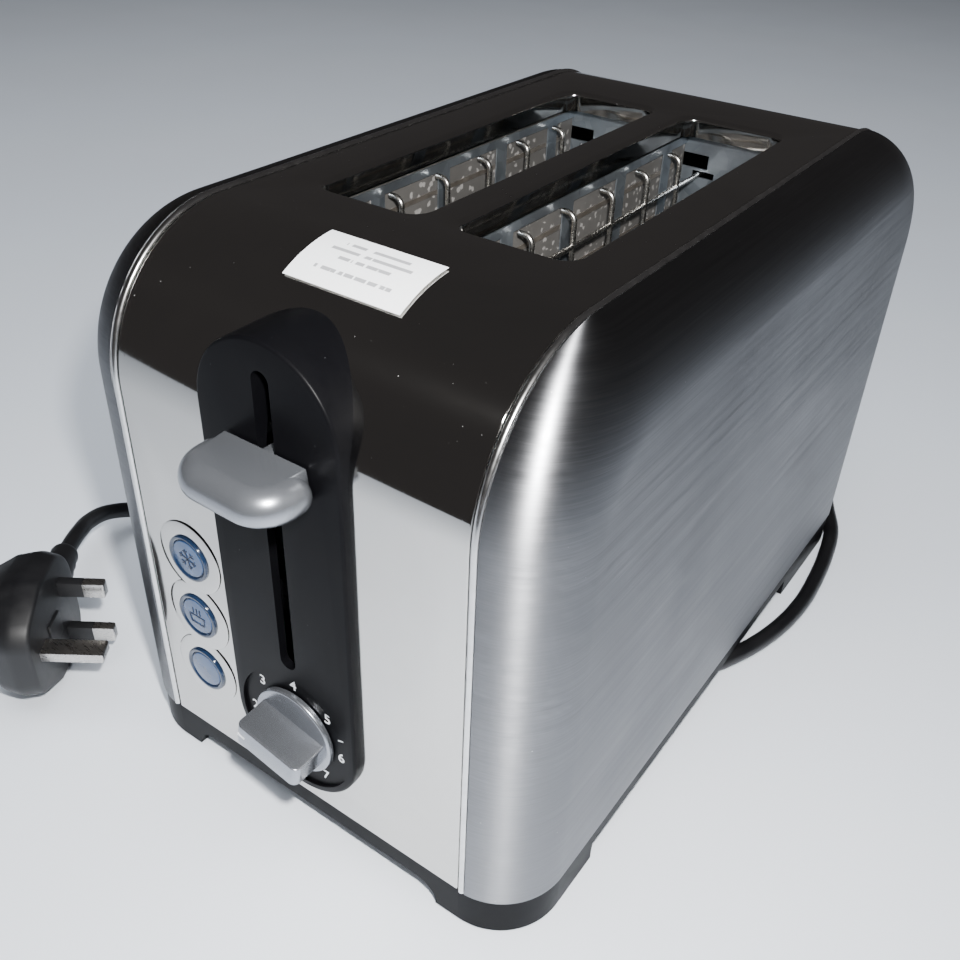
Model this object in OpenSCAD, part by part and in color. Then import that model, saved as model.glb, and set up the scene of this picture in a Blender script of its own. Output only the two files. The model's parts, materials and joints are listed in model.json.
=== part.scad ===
// Two slot pop up toaster with a sprung bread carriage, a browning dial,
// three push buttons, a crumb tray and a mains cord with a three pin plug.
// Millimetres. +Z is up, the control strip faces -Y and the origin lies on the
// table, under the middle of the footprint without the cord.

/* [Body] */
// Overall width of the body across the side shells
body_w = 170; // [150:1:210]
// Overall length of the body from the front panel to the rear panel
body_l = 279; // [250:1:350]
// Height of the top panel above the table
body_h = 192; // [176:1:240]
// Radius of the front and rear top corners seen from the side
corner_r = 46; // [36:1:60]
// Radius of the rolled edges of the side shells
edge_r = 23; // [12:1:30]
// Thickness of the stainless steel sheet
sheet_t = 0.8; // [0.6:0.1:1.2]
// Clearance between pieces that lie side by side
fit_gap = 0.3; // [0.2:0.05:0.4]

/* [Base] */
// Height of the lower edge of the steel panels
panel_z = 15.5; // [13:0.5:22]
// Height of the underside of the base floor
floor_z = 8.5; // [8:0.5:11]
// Thickness of the base floor
floor_t = 2; // [1.5:0.25:2.5]
// Length of a front foot across the front
foot_w = 31; // [20:1:40]
// Length of a front foot along the side
foot_l = 44; // [30:1:60]
// Length of a rear foot along the side
rear_foot_l = 70; // [50:1:90]

/* [Bread slots] */
// Width of each bread slot
slot_w = 38.4; // [32:0.2:42]
// Length of each bread slot
slot_l = 145; // [130:1:165]
// Width of the bar between the two slots
slot_bar = 12.3; // [10:0.1:16]
// Corner radius of the slots
slot_r = 6; // [3:0.5:8]
// Depth of the turned down slot rims
rim_depth = 7; // [5:1:12]

/* [Oven] */
// Distance from a slot wall to the face of the heater board beside it
board_gap = 3; // [2:0.5:4]
// Thickness of a heater board
board_t = 0.6; // [0.4:0.1:1]
// Number of heating ribbons on each board
ribbon_n = 9; // [5:1:12]
// Diameter of the guard wires
wire_d = 1.8; // [1.4:0.1:2.2]
// Number of upright guard wires on each guard
wire_n = 6; // [4:1:8]
// Inward travel of each guard when the bread goes down
guard_travel = 5; // [3:0.5:7]

/* [Controls] */
// Width of the control strip
strip_w = 49.4; // [44:0.2:54]
// How far the control strip stands out of the front panel
strip_out = 2.4; // [2:0.1:4]
// Height of the centre of the strip's round top end
strip_top = 157.6; // [150:0.2:165]
// Height of the dial's centre, which is also the strip's round lower end
dial_z = 47.2; // [46:0.2:52]
// Radius of the dial's recess
recess_r = 22.2; // [20:0.1:23]
// Radius of the dial knob
dial_r = 15.5; // [13:0.1:17]
// Width of the lever's slot
lever_slot_w = 6; // [5.4:0.1:8]
// Lower end of the lever's slot
lever_low = 73.6; // [72:0.2:76]
// Upper end of the lever's slot
lever_high = 174; // [173:0.2:176]
// Width of the lever paddle
lever_w = 39; // [36:1:54]
// How far the lever paddle reaches out in front of the front panel
lever_out = 27.5; // [24:0.5:34]
// Downward travel of the bread carriage
drop = 65; // [50:1:65]
// Upward travel of the carriage past its rest, to lift small items
lift = 20; // [10:1:20]
// Radius of a push button
button_r = 8.2; // [6:0.1:9]
// Distance of the buttons from the middle of the front
button_x = 42.2; // [40:0.2:46]
// Travel of a push button
button_press = 1; // [0.5:0.1:1.2]

/* [Crumb tray] */
// Width of the crumb tray
tray_w = 84; // [70:1:86]
// How far the tray's grip stands out of the rear panel
grip_out = 4; // [3:0.5:10]

/* [Cord] */
// Diameter of the mains cord
cord_d = 6.8; // [6:0.1:7.2]
// Width of the plug
plug_w = 49.6; // [48:0.2:52]

/* [Hidden] */
$fn = 64;

// Body
half_w = body_w / 2;
half_l = body_l / 2;
seam_x = half_w - edge_r;
arc_y = half_l - corner_r;
arc_z = body_h - corner_r;
front_y = -half_l;
frame_dy = (lever_out - grip_out) / 2;

// Base
base_in = 0.6;
wall_t = 3;
lip_t = 1.6;
lip_in = sheet_t + 0.4;
lip_h = 6;
floor_top = floor_z + floor_t;
pad_r = 7;
pad_h = 2;
foot_z = 1;
rear_foot_w = 20;
fillet_r = floor_z - foot_z;

// Oven
slot_x = (slot_bar + slot_w) / 2;
inner_board_x = slot_bar / 2 - board_gap;
outer_board_x = slot_bar / 2 + slot_w + board_gap;
plate_t = 0.8;
plate_y = slot_l / 2 + 9;
plate_w = 2 * (outer_board_x + 9);
plate_foot_x = tray_w / 2 + 3.5;
plate_low = panel_z + 2.5;
plate_high = body_h - 8;
reflector_x = plate_w / 2 - 2;
board_l = 2 * plate_y - 2 * fit_gap - 16;
board_low = plate_low + 8;
board_high = plate_high - 2;
ribbon_t = 0.25;
ribbon_h = 1.6;
clip_t = 0.5;
clip_w = 6.5;
clip_pitch = 35.6;
clip_ys = [for (k = [-1:2]) (k - 1 / 6) * clip_pitch];
guard_clear = 3.6;
guard_back = guard_travel * lift / drop;
inner_guard_x = slot_bar / 2 + guard_clear + wire_d / 2;
outer_guard_x = slot_bar / 2 + slot_w - guard_clear - wire_d / 2;
guard_low = board_low + 10;
guard_high = board_high - 14;
hook_rise = 8;
hook_r = 3;
hook_len = 1.7;

board_xs = [-outer_board_x, -inner_board_x, inner_board_x, outer_board_x];

// Fastenings, pads and label
base_screw_r = 1.6;
base_screw_x = (plate_foot_x + plate_w / 2) / 2;
base_screw_at = [for (sx = [-1, 1], sy = [-1, 1]) [sx * base_screw_x, sy * (plate_y + 6)]];
strip_screw_r = 1.2;
strip_screw_x = 18;
strip_screw_zs = [75, 140];
strip_screw_in = 1.2;
pad_at = [
    for (sx = [-1, 1], sy = [-1, 1])
        [sx * (half_w - rear_foot_w / 2 - 2), sy * (half_l - 22)]
];
label_t = 0.15;
label_x = [-16, 23];
label_y = [-22.5, -3];

// Carriage
rest_z = 146;
stem_w = lever_slot_w - 1.6;
stem_h = 8;
rod_y = front_y + 31.5;
rod_r = 3;
rod_gap = 0.05;
bush_r = 6;
rack_z = 96;
rack_h = 10;
rack_t = 1.2;
bush_low = rack_z;
rod_top = lever_high + 6;
bush_h = 24;
cross_y = -plate_y - 11;
cross_t = 1.5;
arm_slot = 4;
spring_r = 4.6;
spring_wire = 0.9;
spring_turns = 12;
knob_back = 4;
knob_h = 11;

// Controls
strip_front = front_y - strip_out;
recess_depth = 1.1;
dial_face = strip_front + recess_depth;
dial_disc_t = 4.6;
dial_out = 14;
dial_turn = 11;
grip_t = 13;
spindle_r = 3;
board_y = front_y + 15.5;
board_post_xs = [-54, 14];
pcb_t = 1.6;
button_zs = [93.1, 69.5, 46];
button_out = 1.2;
magnet_x = 24;
magnet_y = rod_y - 1;
keeper_t = 1.6;
keeper_z = rack_z + 5;
core_top = keeper_z - drop - fit_gap;

// Cord and plug
sleeve_x = -52;
sleeve_z = 8.4;
sleeve_r = 4.8;
sleeve_end = half_l + 9;
boot_z = plug_w / 2;
plug_at = [-126.3, -137.8, boot_z];
plug_turn = 35;
plug_depth = 24;
plug_top = 14;
plug_bottom = -34;
boot_l = 22;
boot_y = plug_top + fit_gap;
boot_x = 1 - plug_depth / 2;
pin_pitch = 22.2;
sleeved = 9.5;
route = [
    [-52, 149, 8.4], [-52, 158, 7.8], [-49, 173, 5], [-40, 190, 3.5], [-26, 202, 3.5],
    [-8, 209, 3.5], [12, 210, 3.5], [32, 204, 3.5], [49, 192, 3.5], [62, 176, 3.5],
    [71, 158, 3.5], [79, 141, 3.5], [87, 124, 3.5], [91, 106, 3.5], [93.4, 87, 3.5],
    [94.4, 66, 3.5], [92, 44, 3.5], [85.5, 22, 3.5], [74, 0, 3.5], [58, -16, 3.5],
    [36, -28, 3.5], [10, -36, 3.5], [-20, -42, 3.5], [-50, -46, 3.5], [-80, -48, 3.5],
    [-105, -49, 3.5], [-127, -49.5, 3.5], [-146.5, -51.2, 3.6], [-158.4, -54.6, 4.8],
    [-168, -61.7, 7.7], [-173.7, -71.8, 11.7], [-174.7, -83.5, 16.2], [-170, -94.7, 20.3],
    [-165, -101.8, 22.7], [-160, -108.9, 24.2], [-155.2, -115.8, 24.8]
];

// Moves a piece from the body's own middle to the middle of the footprint
module place() {
    translate([0, frame_dy, 0]) children();
}

// Stretches a flat outline, drawn in Y and Z, along X
module along_x(x0, x1) {
    translate([x0, 0, 0]) rotate([90, 0, 90]) linear_extrude(x1 - x0) children();
}

// Stretches a flat outline, drawn in X and Z, along Y
module along_y(y0, y1) {
    translate([0, y1, 0]) rotate([90, 0, 0]) linear_extrude(y1 - y0) children();
}

// Round bar along Y
module rod_y(x, z, r, y0, y1) {
    translate([x, y1, z]) rotate([90, 0, 0]) cylinder(r = r, h = y1 - y0);
}

// Block given by its two opposite corners
module block(a, b) {
    translate(a) cube(b - a);
}

// Rounded rectangle centred on the origin
module round_rect(w, l, r) {
    square([w - 2 * r, l], center = true);
    square([w, l - 2 * r], center = true);
    for (sx = [-1, 1], sy = [-1, 1])
        translate([sx * (w / 2 - r), sy * (l / 2 - r)]) circle(r);
}

// Upright slot outline with round ends
module stadium(r, low, high) {
    translate([-r, low]) square([2 * r, high - low]);
    for (z = [low, high]) translate([0, z]) circle(r);
}

// Side view of the body, moved in by d and open at height low
module side_profile(d, low) {
    translate([d - half_l, low]) square([body_l - 2 * d, arc_z - low]);
    translate([-arc_y, low]) square([2 * arc_y, body_h - d - low]);
    for (s = [-1, 1]) translate([s * arc_y, arc_z]) circle(corner_r - d);
}

// Quarter of a ring, from the X axis to the Y axis
module quarter_ring(r, t) {
    intersection() {
        difference() {
            circle(r);
            circle(r - t);
        }
        square([r, r]);
    }
}

// Plan view of the base, moved in by d
module base_outline(d) {
    round_rect(body_w - 2 * d, body_l - 2 * d, edge_r - d);
}

// Bright steel centre panel that runs up the front, over the top and down the rear
module wrap_band() {
    color("silver") difference() {
        along_x(fit_gap - seam_x, seam_x - fit_gap) difference() {
            side_profile(0, panel_z);
            side_profile(sheet_t, panel_z - 1);
        }
        for (s = [-1, 1])
            translate([s * slot_x, 0, arc_z]) linear_extrude(corner_r + 1)
                round_rect(slot_w, slot_l, slot_r);
        along_y(front_y - 1, front_y + 30)
            stadium(lever_slot_w / 2 + 1.5, lever_low + lever_slot_w / 2, lever_high - 3);
        rod_y(0, dial_z, spindle_r + 2, front_y - 1, front_y + 3);
        for (z = button_zs) rod_y(-button_x, z, button_r + fit_gap, front_y - 1, front_y + 3);
        for (z = strip_screw_zs, s = [-1, 1])
            rod_y(s * strip_screw_x, z, strip_screw_r, front_y - 1, front_y + 3);
    }
}

// Brushed steel side pressing with rolled edges, on the right unless mirrored
module side_shell() {
    color("lightslategray") {
        along_x(half_w - sheet_t, half_w) intersection() {
            shell_flat();
            translate([-half_l, panel_z]) square([body_l, body_h]);
        }
        along_y(-arc_y, arc_y)
            translate([seam_x, body_h - edge_r]) quarter_ring(edge_r, sheet_t);
        for (s = [0, 1]) mirror([0, s, 0]) {
            translate([seam_x, half_l - edge_r, panel_z])
                linear_extrude(arc_z - panel_z) quarter_ring(edge_r, sheet_t);
            translate([seam_x, arc_y, arc_z]) rotate([90, 0, 90])
                rotate_extrude(angle = 90)
                    translate([corner_r - edge_r, 0]) quarter_ring(edge_r, sheet_t);
        }
    }
}

// Flat part of a side shell, inside its rolled edges
module shell_flat() {
    flat_r = corner_r - edge_r;
    translate([edge_r - half_l, panel_z]) square([body_l - 2 * edge_r, arc_z - panel_z]);
    translate([-arc_y, panel_z]) square([2 * arc_y, body_h - edge_r - panel_z]);
    for (s = [-1, 1]) translate([s * arc_y, arc_z]) circle(flat_r);
}

// Turned down rims of the bread slots, with notched ends
module slot_rims() {
    rim_top = body_h - sheet_t;
    color("dimgray") for (s = [-1, 1]) translate([s * slot_x, 0, 0]) difference() {
        translate([0, 0, rim_top - rim_depth]) linear_extrude(rim_depth) difference() {
            round_rect(slot_w + 2 * sheet_t, slot_l + 2 * sheet_t, slot_r + sheet_t);
            round_rect(slot_w, slot_l, slot_r);
        }
        for (sx = [-1, 1])
            translate([sx * (slot_w / 2 - slot_r - 2), 0, rim_top - rim_depth - 1])
                block([-2.5, -slot_l, 0], [2.5, slot_l, rim_depth - 3]);
    }
}

// Plastic base with a rim, corner feet, posts for the control board and a cord outlet
module base_tray() {
    color("dimgray") difference() {
        union() {
            translate([0, 0, floor_z]) linear_extrude(floor_t) base_outline(base_in);
            translate([0, 0, floor_top]) linear_extrude(panel_z - floor_top) difference() {
                base_outline(base_in);
                base_outline(base_in + wall_t);
            }
            translate([0, 0, panel_z]) linear_extrude(lip_h) difference() {
                base_outline(lip_in);
                base_outline(lip_in + lip_t);
            }
            for (sx = [-1, 1]) {
                foot(sx, -1, foot_w + base_in, foot_l);
                foot(sx, 1, rear_foot_w, rear_foot_l);
            }
            for (x = board_post_xs)
                block([x - 2, board_y + pcb_t, floor_top], [x + 2, board_y + pcb_t + 5, 60]);
            block([sleeve_x - 7, half_l - 14, 2.5], [sleeve_x + 7, half_l - base_in, floor_z]);
        }
        block([-tray_w / 2 - 0.5, half_l - 8, floor_top], [tray_w / 2 + 0.5, half_l + 1, 30]);
        rod_y(sleeve_x, sleeve_z, sleeve_r - 1, half_l - 20, half_l + 1);
        for (p = base_screw_at) translate([p.x, p.y, 0]) cylinder(r = base_screw_r, h = 20);
        for (p = pad_at) translate([p.x, p.y, 0]) cylinder(r = pad_r, h = pad_h);
    }
}

// Corner foot of the base, a cup with a curved inner end
module foot(sx, sy, w, l) {
    x0 = half_w - w;
    y0 = half_l - l;
    difference() {
        intersection() {
            translate([0, 0, foot_z]) linear_extrude(fillet_r) base_outline(base_in);
            union() {
                corner_solid(sx, sy) block([x0, y0, 0], [half_w, half_l, floor_z]);
                corner_solid(sx, sy) difference() {
                    block([x0 - fillet_r, half_l - wall_t - base_in, foot_z],
                        [x0, half_l, floor_z]);
                    rod_y(x0 - fillet_r, foot_z, fillet_r, half_l - 10, half_l + 1);
                }
            }
        }
        translate([0, 0, pad_h + 1.5]) linear_extrude(floor_z - pad_h - 1.5) intersection() {
            base_outline(base_in + wall_t);
            corner_outline(sx, sy) translate([x0 + wall_t, y0 + wall_t]) square([w, l]);
        }
    }
}

// Mirrors a solid into the corner given by the two signs
module corner_solid(sx, sy) {
    mirror([sx < 0 ? 1 : 0, 0, 0]) mirror([0, sy < 0 ? 1 : 0, 0]) children();
}

// Mirrors an outline into the corner given by the two signs
module corner_outline(sx, sy) {
    mirror([sx < 0 ? 1 : 0, 0]) mirror([0, sy < 0 ? 1 : 0]) children();
}

// Soft pads under the four feet
module rubber_feet() {
    color("black") for (p = pad_at) translate([p.x, p.y, 0]) cylinder(r = pad_r, h = pad_h);
}

// Screws that hold the oven to the base, from below
module base_screws() {
    color("gray") for (p = base_screw_at) translate([p.x, p.y, 0]) {
        translate([0, 0, floor_z - 2]) cylinder(r = 3.5, h = 2);
        translate([0, 0, floor_z - 1]) cylinder(r = base_screw_r, h = floor_t + 4);
    }
}

// Black control strip with the lever's slot and the dial's recess
module control_strip() {
    color("#1c1d20") difference() {
        along_y(strip_front, front_y + 32) stadium(strip_w / 2, dial_z, strip_top);
        along_x(-strip_w, strip_w) side_profile(0, 0);
        along_y(strip_front - 1, front_y + 32)
            stadium(lever_slot_w / 2, lever_low + lever_slot_w / 2, lever_high - lever_slot_w / 2);
        rod_y(0, dial_z, recess_r, strip_front - 1, dial_face);
        rod_y(0, dial_z, spindle_r + 1, strip_front - 1, front_y + 3);
        for (z = strip_screw_zs, s = [-1, 1])
            rod_y(s * strip_screw_x, z, strip_screw_r, front_y - strip_screw_in, front_y + 3);
    }
}

// Screws that hold the control strip from behind the front panel
module strip_screws() {
    color("gray") for (z = strip_screw_zs, s = [-1, 1]) {
        rod_y(s * strip_screw_x, z, strip_screw_r, front_y - strip_screw_in, front_y + sheet_t);
        rod_y(s * strip_screw_x, z, 3, front_y + sheet_t, front_y + sheet_t + 2);
    }
}

// Paper label on the curve of the top panel
module top_label() {
    color("white") intersection() {
        along_x(label_x[0], label_x[1]) difference() {
            side_profile(-label_t, arc_z - 1);
            side_profile(0, arc_z - 2);
        }
        block([-half_w, label_y[0] - arc_y, arc_z], [half_w, label_y[1] - arc_y, body_h + 1]);
    }
}

// Galvanised end wall of the oven, at the front unless mirrored
module end_plate() {
    color("lightgray") difference() {
        union() {
            block([-plate_w / 2, -plate_y - plate_t, plate_low],
                [plate_w / 2, -plate_y, plate_high]);
            for (s = [-1, 1]) mirror([s < 0 ? 1 : 0, 0, 0]) {
                block([plate_foot_x, -plate_y - plate_t, floor_top],
                    [plate_w / 2, -plate_y, plate_low]);
                block([plate_foot_x, -plate_y - 12, floor_top],
                    [plate_w / 2, -plate_y, floor_top + plate_t]);
            }
        }
        for (sx = [-1, 1]) {
            block([sx * slot_x - arm_slot / 2, -plate_y - 2, rack_z - drop - 3],
                [sx * slot_x + arm_slot / 2, -plate_y + 1, rack_z + rack_h + lift + 3]);
            block([sx * slot_x - 24.5, -plate_y - 2, plate_high - 13.8],
                [sx * slot_x - 11.5, -plate_y + 1, plate_high - 8.5]);
            for (z = [guard_low, guard_high]) {
                guard_slot(sx * (inner_guard_x - guard_back), sx * (inner_guard_x + guard_travel), z);
                guard_slot(sx * (outer_guard_x - guard_travel), sx * (outer_guard_x + guard_back), z);
            }
        }
        for (p = base_screw_at) translate([p.x, p.y, 0]) cylinder(r = base_screw_r, h = 20);
    }
}

// Level slot in an end wall that a guard's rail slides in
module guard_slot(xa, xb, z) {
    r = wire_d / 2 + fit_gap;
    block([min(xa, xb) - r, -plate_y - 2, z - r], [max(xa, xb) + r, -plate_y + 1, z + r]);
}

// Side wall of the oven, on the right unless mirrored
module reflector() {
    color("gainsboro") difference() {
        block([reflector_x, -plate_y, plate_low + 1], [reflector_x + 0.6, plate_y, plate_high]);
        for (k = [-2:2])
            block([reflector_x - 1, k * 28 - 8, plate_high - 30],
                [reflector_x + 1, k * 28 + 8, plate_high - 26]);
    }
}

// Mica board that carries the heating ribbons, with its middle at x
module heater_board(x) {
    color("#8c8a80")
        block([x - board_t / 2, -plate_y, board_low], [x + board_t / 2, plate_y, board_high]);
}

// Heating ribbons wound flat round each board
module heating_ribbons() {
    step = (board_high - board_low - 20) / (ribbon_n - 1);
    reach = board_l / 2;
    outer = board_t / 2 + ribbon_t;
    color("#b0a898") for (x = board_xs, k = [0:ribbon_n - 1])
        for (s = [-1, 1])
            translate([x, 0, board_low + 10 + k * step])
                block([s < 0 ? -outer : board_t / 2, -reach, -ribbon_h / 2],
                    [s < 0 ? -board_t / 2 : outer, reach, ribbon_h / 2]);
}

// Upright strips and rails that hold each board on the side that faces its slot
module board_clips() {
    for (sx = [-1, 1]) {
        board_clip(sx * inner_board_x, sx);
        board_clip(sx * outer_board_x, -sx);
    }
}

// One set of strips, on the side of the board given by the sign
module board_clip(x, side) {
    near = board_t / 2 + ribbon_t;
    far = near + clip_t;
    x0 = side > 0 ? x + near : x - far;
    color("silver") {
        for (y = clip_ys)
            block([x0, y - clip_w / 2, board_low - 5], [x0 + clip_t, y + clip_w / 2, board_high]);
        for (z = [board_low - 5, board_high - 3])
            block([x0, -plate_y, z], [x0 + clip_t, plate_y, z + 3]);
    }
}

// Wire guard beside a heater board; out is the side that its hooks turn to
module guard(x, out) {
    r = wire_d / 2;
    pitch = (slot_l - 20) / (wire_n - 1);
    color("silver") {
        for (z = [guard_low, guard_high]) rod_y(x, z, r, -plate_y - 4, plate_y + 4);
        for (k = [0:wire_n - 1]) translate([x, k * pitch - (slot_l - 20) / 2, 0]) {
            translate([0, 0, guard_low]) cylinder(r = r, h = guard_high + hook_rise - guard_low, $fn = 24);
            translate([out * hook_r, 0, guard_high + hook_rise]) mirror([out > 0 ? 1 : 0, 0, 0])
                rotate([90, 0, 0]) rotate_extrude(angle = 90)
                    translate([hook_r, 0]) circle(r, $fn = 24);
            translate([out * hook_r, 0, guard_high + hook_rise + hook_r]) rotate([0, out * 90, 0])
                cylinder(r = r, h = hook_len, $fn = 24);
        }
    }
}

// Upright rod that the carriage slides on
module guide_rod() {
    color("silver") translate([0, rod_y, floor_top]) cylinder(r = rod_r, h = rod_top - floor_top);
}

// Bracket on the front end wall that holds the top of the rod
module rod_bracket() {
    color("lightgray") difference() {
        union() {
            block([-7.5, rod_y - 8, rod_top - 4], [7.5, -plate_y - plate_t, rod_top - 2.5]);
            block([-7.5, -plate_y - plate_t - 1.2, rod_top - 16], [7.5, -plate_y - plate_t, rod_top - 4]);
        }
        translate([0, rod_y, rod_top - 20]) cylinder(r = rod_r, h = 40);
    }
}

// Points and faces of a tube of radius r along a list of points, with n sides
function unit(v) = v / norm(v);
function heading(p, i) = unit(p[min(i + 1, len(p) - 1)] - p[max(i - 1, 0)]);
function ring(c, t, r, n) =
    let (side = unit(cross(t, [0, 0, 1])), up = cross(side, t))
    [for (k = [0:n - 1]) c + r * cos(360 * k / n) * side + r * sin(360 * k / n) * up];
function tube_points(p, r, n) =
    [for (i = [0:len(p) - 1]) each ring(p[i], heading(p, i), r, n)];
function tube_sides(m, n) = [
    for (i = [0:m - 2], k = [0:n - 1])
        let (a = i * n + k, b = i * n + (k + 1) % n)
            each [[a, b, b + n], [a, b + n, a + n]]
];
function tube_faces(m, n) = concat(
    tube_sides(m, n),
    [[for (k = [n - 1:-1:0]) k]],
    [[for (k = [0:n - 1]) (m - 1) * n + k]]
);
module tube(p, r, n) {
    polyhedron(points = tube_points(p, r, n), faces = tube_faces(len(p), n), convexity = 8);
}

// Coil spring round the rod that pushes the carriage up
module return_spring() {
    low = floor_top + spring_wire;
    high = bush_low - spring_wire;
    steps = spring_turns * 12;
    path = [
        for (i = [0:steps])
            [spring_r * cos(30 * i), rod_y + spring_r * sin(30 * i), low + (high - low) * i / steps]
    ];
    color("gray") tube(path, spring_wire / 2, 6);
}

// Steel carriage: a bush on the rod, a cross arm for the racks and the lever's stem
module carriage() {
    stem_low = rest_z - stem_h / 2;
    color("gray") {
        difference() {
            union() {
                translate([0, rod_y, bush_low]) cylinder(r = bush_r, h = bush_h);
                block([-5, rod_y, bush_low + 4], [5, cross_y, bush_low + bush_h - 4]);
            }
            translate([0, rod_y, bush_low - 1]) cylinder(r = rod_r + rod_gap, h = bush_h + 2);
        }
        block([-slot_x - 7, cross_y - cross_t, rack_z], [slot_x + 7, cross_y, rack_z + 14]);
        block([-slot_x - 5, cross_y - cross_t, rack_z + 12], [-8, cross_y, rack_z + 14]);
        difference() {
            block([-stem_w / 2, rod_y - bush_r - 3, bush_low + 2],
                [stem_w / 2, rod_y, rest_z + stem_h / 2]);
            translate([0, rod_y, bush_low - 1]) cylinder(r = rod_r + 1.5, h = 80);
        }
        block([-stem_w / 2, front_y - knob_back - 8, stem_low],
            [stem_w / 2, rod_y - bush_r - 2, stem_low + stem_h]);
    }
}

// Silver lever paddle on the stem
module lever_knob() {
    depth = lever_out - knob_back;
    mid_y = front_y - knob_back - depth / 2;
    low = rest_z - knob_h / 2;
    color("silver") difference() {
        intersection() {
            translate([0, mid_y, low]) linear_extrude(knob_h) round_rect(lever_w, depth, 9);
            along_x(-lever_w, lever_w) translate([mid_y, rest_z])
                round_rect(depth, knob_h, knob_h / 2 - 0.5);
        }
        block([-stem_w / 2, front_y - knob_back - 8, rest_z - stem_h / 2],
            [stem_w / 2, front_y, rest_z + stem_h / 2]);
    }
}

// Toothed rack that lifts the bread in one slot
module bread_rack(x) {
    color("silver") {
        block([x - rack_t / 2, cross_y, rack_z], [x + rack_t / 2, plate_y + 5, rack_z + rack_h - 3]);
        for (k = [-3:3])
            block([x - 5, k * 20 - 1.5, rack_z + rack_h - 3], [x + 5, k * 20 + 1.5, rack_z + rack_h]);
    }
}

// Iron plate on the carriage that the magnet holds
module latch_keeper() {
    color("gray")
        block([magnet_x - 9, magnet_y - 6, keeper_z], [magnet_x + 9, cross_y - cross_t, keeper_z + keeper_t]);
}

// Two legged core of the holding magnet
module magnet_core() {
    color("dimgray") {
        block([magnet_x - 9, magnet_y - 3, floor_top], [magnet_x + 9, magnet_y + 3, floor_top + 4]);
        for (s = [-1, 1])
            translate([magnet_x + s * 6, magnet_y, floor_top]) cylinder(r = 2.6, h = core_top - floor_top);
    }
}

// Winding on one leg of the core
module magnet_coil() {
    color("peru") translate([magnet_x - 6, magnet_y, floor_top + 4]) difference() {
        cylinder(r = 5.4, h = core_top - floor_top - 7);
        translate([0, 0, -1]) cylinder(r = 2.6, h = 40);
    }
}

// Green circuit board behind the front panel
module control_board() {
    color("seagreen") difference() {
        union() {
            block([-57, board_y, 26], [-5, board_y + pcb_t, 136]);
            block([-57, board_y, 26], [17, board_y + pcb_t, 66]);
        }
        rod_y(0, dial_z, spindle_r + 1, board_y - 1, board_y + 3);
    }
}

// Relay, capacitors, resistors and a chip on the circuit board
module board_parts() {
    color("#2b2b2e") {
        block([-30, board_y - 9, 100], [-14, board_y, 112]);
        block([-22, board_y - 3, 72], [-8, board_y, 80]);
        for (z = [86, 92, 120, 127]) rod_y(-11, z, 2.6, board_y - 7, board_y);
        for (z = [66, 71, 116]) block([-33, board_y - 2.4, z - 1.2], [-25, board_y, z + 1.2]);
    }
}

// Small push switches behind the three buttons
module button_switches() {
    color("#3a3a3d") for (z = button_zs) {
        block([-button_x - 3, board_y - 4, z - 3], [-button_x + 3, board_y, z + 3]);
        rod_y(-button_x, z, 1.7, board_y - 5, board_y - 4);
    }
}

// Round push button with a stem that reaches its switch
module button(z) {
    color("#3f5d8c") {
        rod_y(-button_x, z, button_r, front_y - button_out, front_y + 4);
        rod_y(-button_x, z, 2.4, front_y + 4, board_y - 5 - button_press - 0.1);
    }
}

// Rotary control on the circuit board that the dial turns
module dial_control() {
    color("darkslategray") difference() {
        rod_y(0, dial_z, 8, board_y - 9, board_y);
        rod_y(0, dial_z, spindle_r + rod_gap, board_y - 10, board_y + 1);
    }
}

// Shaft between the dial knob and its control
module dial_spindle() {
    color("lightgray") rod_y(0, dial_z, spindle_r, strip_front - 8, board_y - 1);
}

// Round dial knob with a raised grip bar across it
module dial_knob() {
    disc_front = dial_face - 0.4 - dial_disc_t;
    grip_front = strip_front - dial_out;
    color("silver") difference() {
        translate([0, 0, dial_z]) rotate([0, dial_turn, 0]) {
            rod_y(0, 0, dial_r, disc_front, dial_face - 0.4);
            intersection() {
                rod_y(0, 0, dial_r - 0.5, grip_front, disc_front);
                block([-14, grip_front, -grip_t / 2], [14, disc_front, grip_t / 2]);
            }
        }
        rod_y(0, dial_z, spindle_r, strip_front - 8, front_y);
    }
}

// Sheet tray that catches crumbs and slides out at the rear
module crumb_tray() {
    t = 0.6;
    low = floor_top + fit_gap;
    y0 = -plate_y + 2;
    color("gainsboro") difference() {
        block([-tray_w / 2, y0, low], [tray_w / 2, half_l, panel_z - fit_gap]);
        block([t - tray_w / 2, y0 + t, low + t], [tray_w / 2 - t, half_l - t, panel_z + 5]);
    }
}

// Grip on the rear end of the crumb tray
module tray_grip() {
    color("#1c1d20")
        block([-tray_w / 2, half_l, floor_top + fit_gap], [tray_w / 2, half_l + grip_out, panel_z - fit_gap]);
}

// Block inside the base where the mains cord is connected
module terminal_block() {
    color("white") {
        block([sleeve_x - 9, half_l - 38, floor_top], [sleeve_x + 7, half_l - 24, floor_top + 11]);
    }
}

// Flexible sleeve that guides the cord out of the base
module cord_sleeve() {
    color("black") difference() {
        union() {
            rod_y(sleeve_x, sleeve_z, sleeve_r - 1, half_l - 18, half_l);
            rod_y(sleeve_x, sleeve_z, sleeve_r, half_l, sleeve_end);
        }
        rod_y(sleeve_x, sleeve_z, 1.5, half_l - 19, half_l - 10);
    }
}

// Smooth curve through the cord's route, with a middle point on every span
function spline(a, b, c, d, t) =
    0.5 * (2 * b + t * (c - a) + t * t * (2 * a - 5 * b + 4 * c - d) + t * t * t * (3 * b - a - 3 * c + d));
cord_path = [
    for (i = [0:len(route) - 2], t = [0, 0.5])
        spline(route[max(i - 1, 0)], route[i], route[i + 1], route[min(i + 2, len(route) - 1)], t),
    route[len(route) - 1]
];
module mains_cord() {
    color("#111111") tube(cord_path, cord_d / 2, 10);
}

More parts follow.
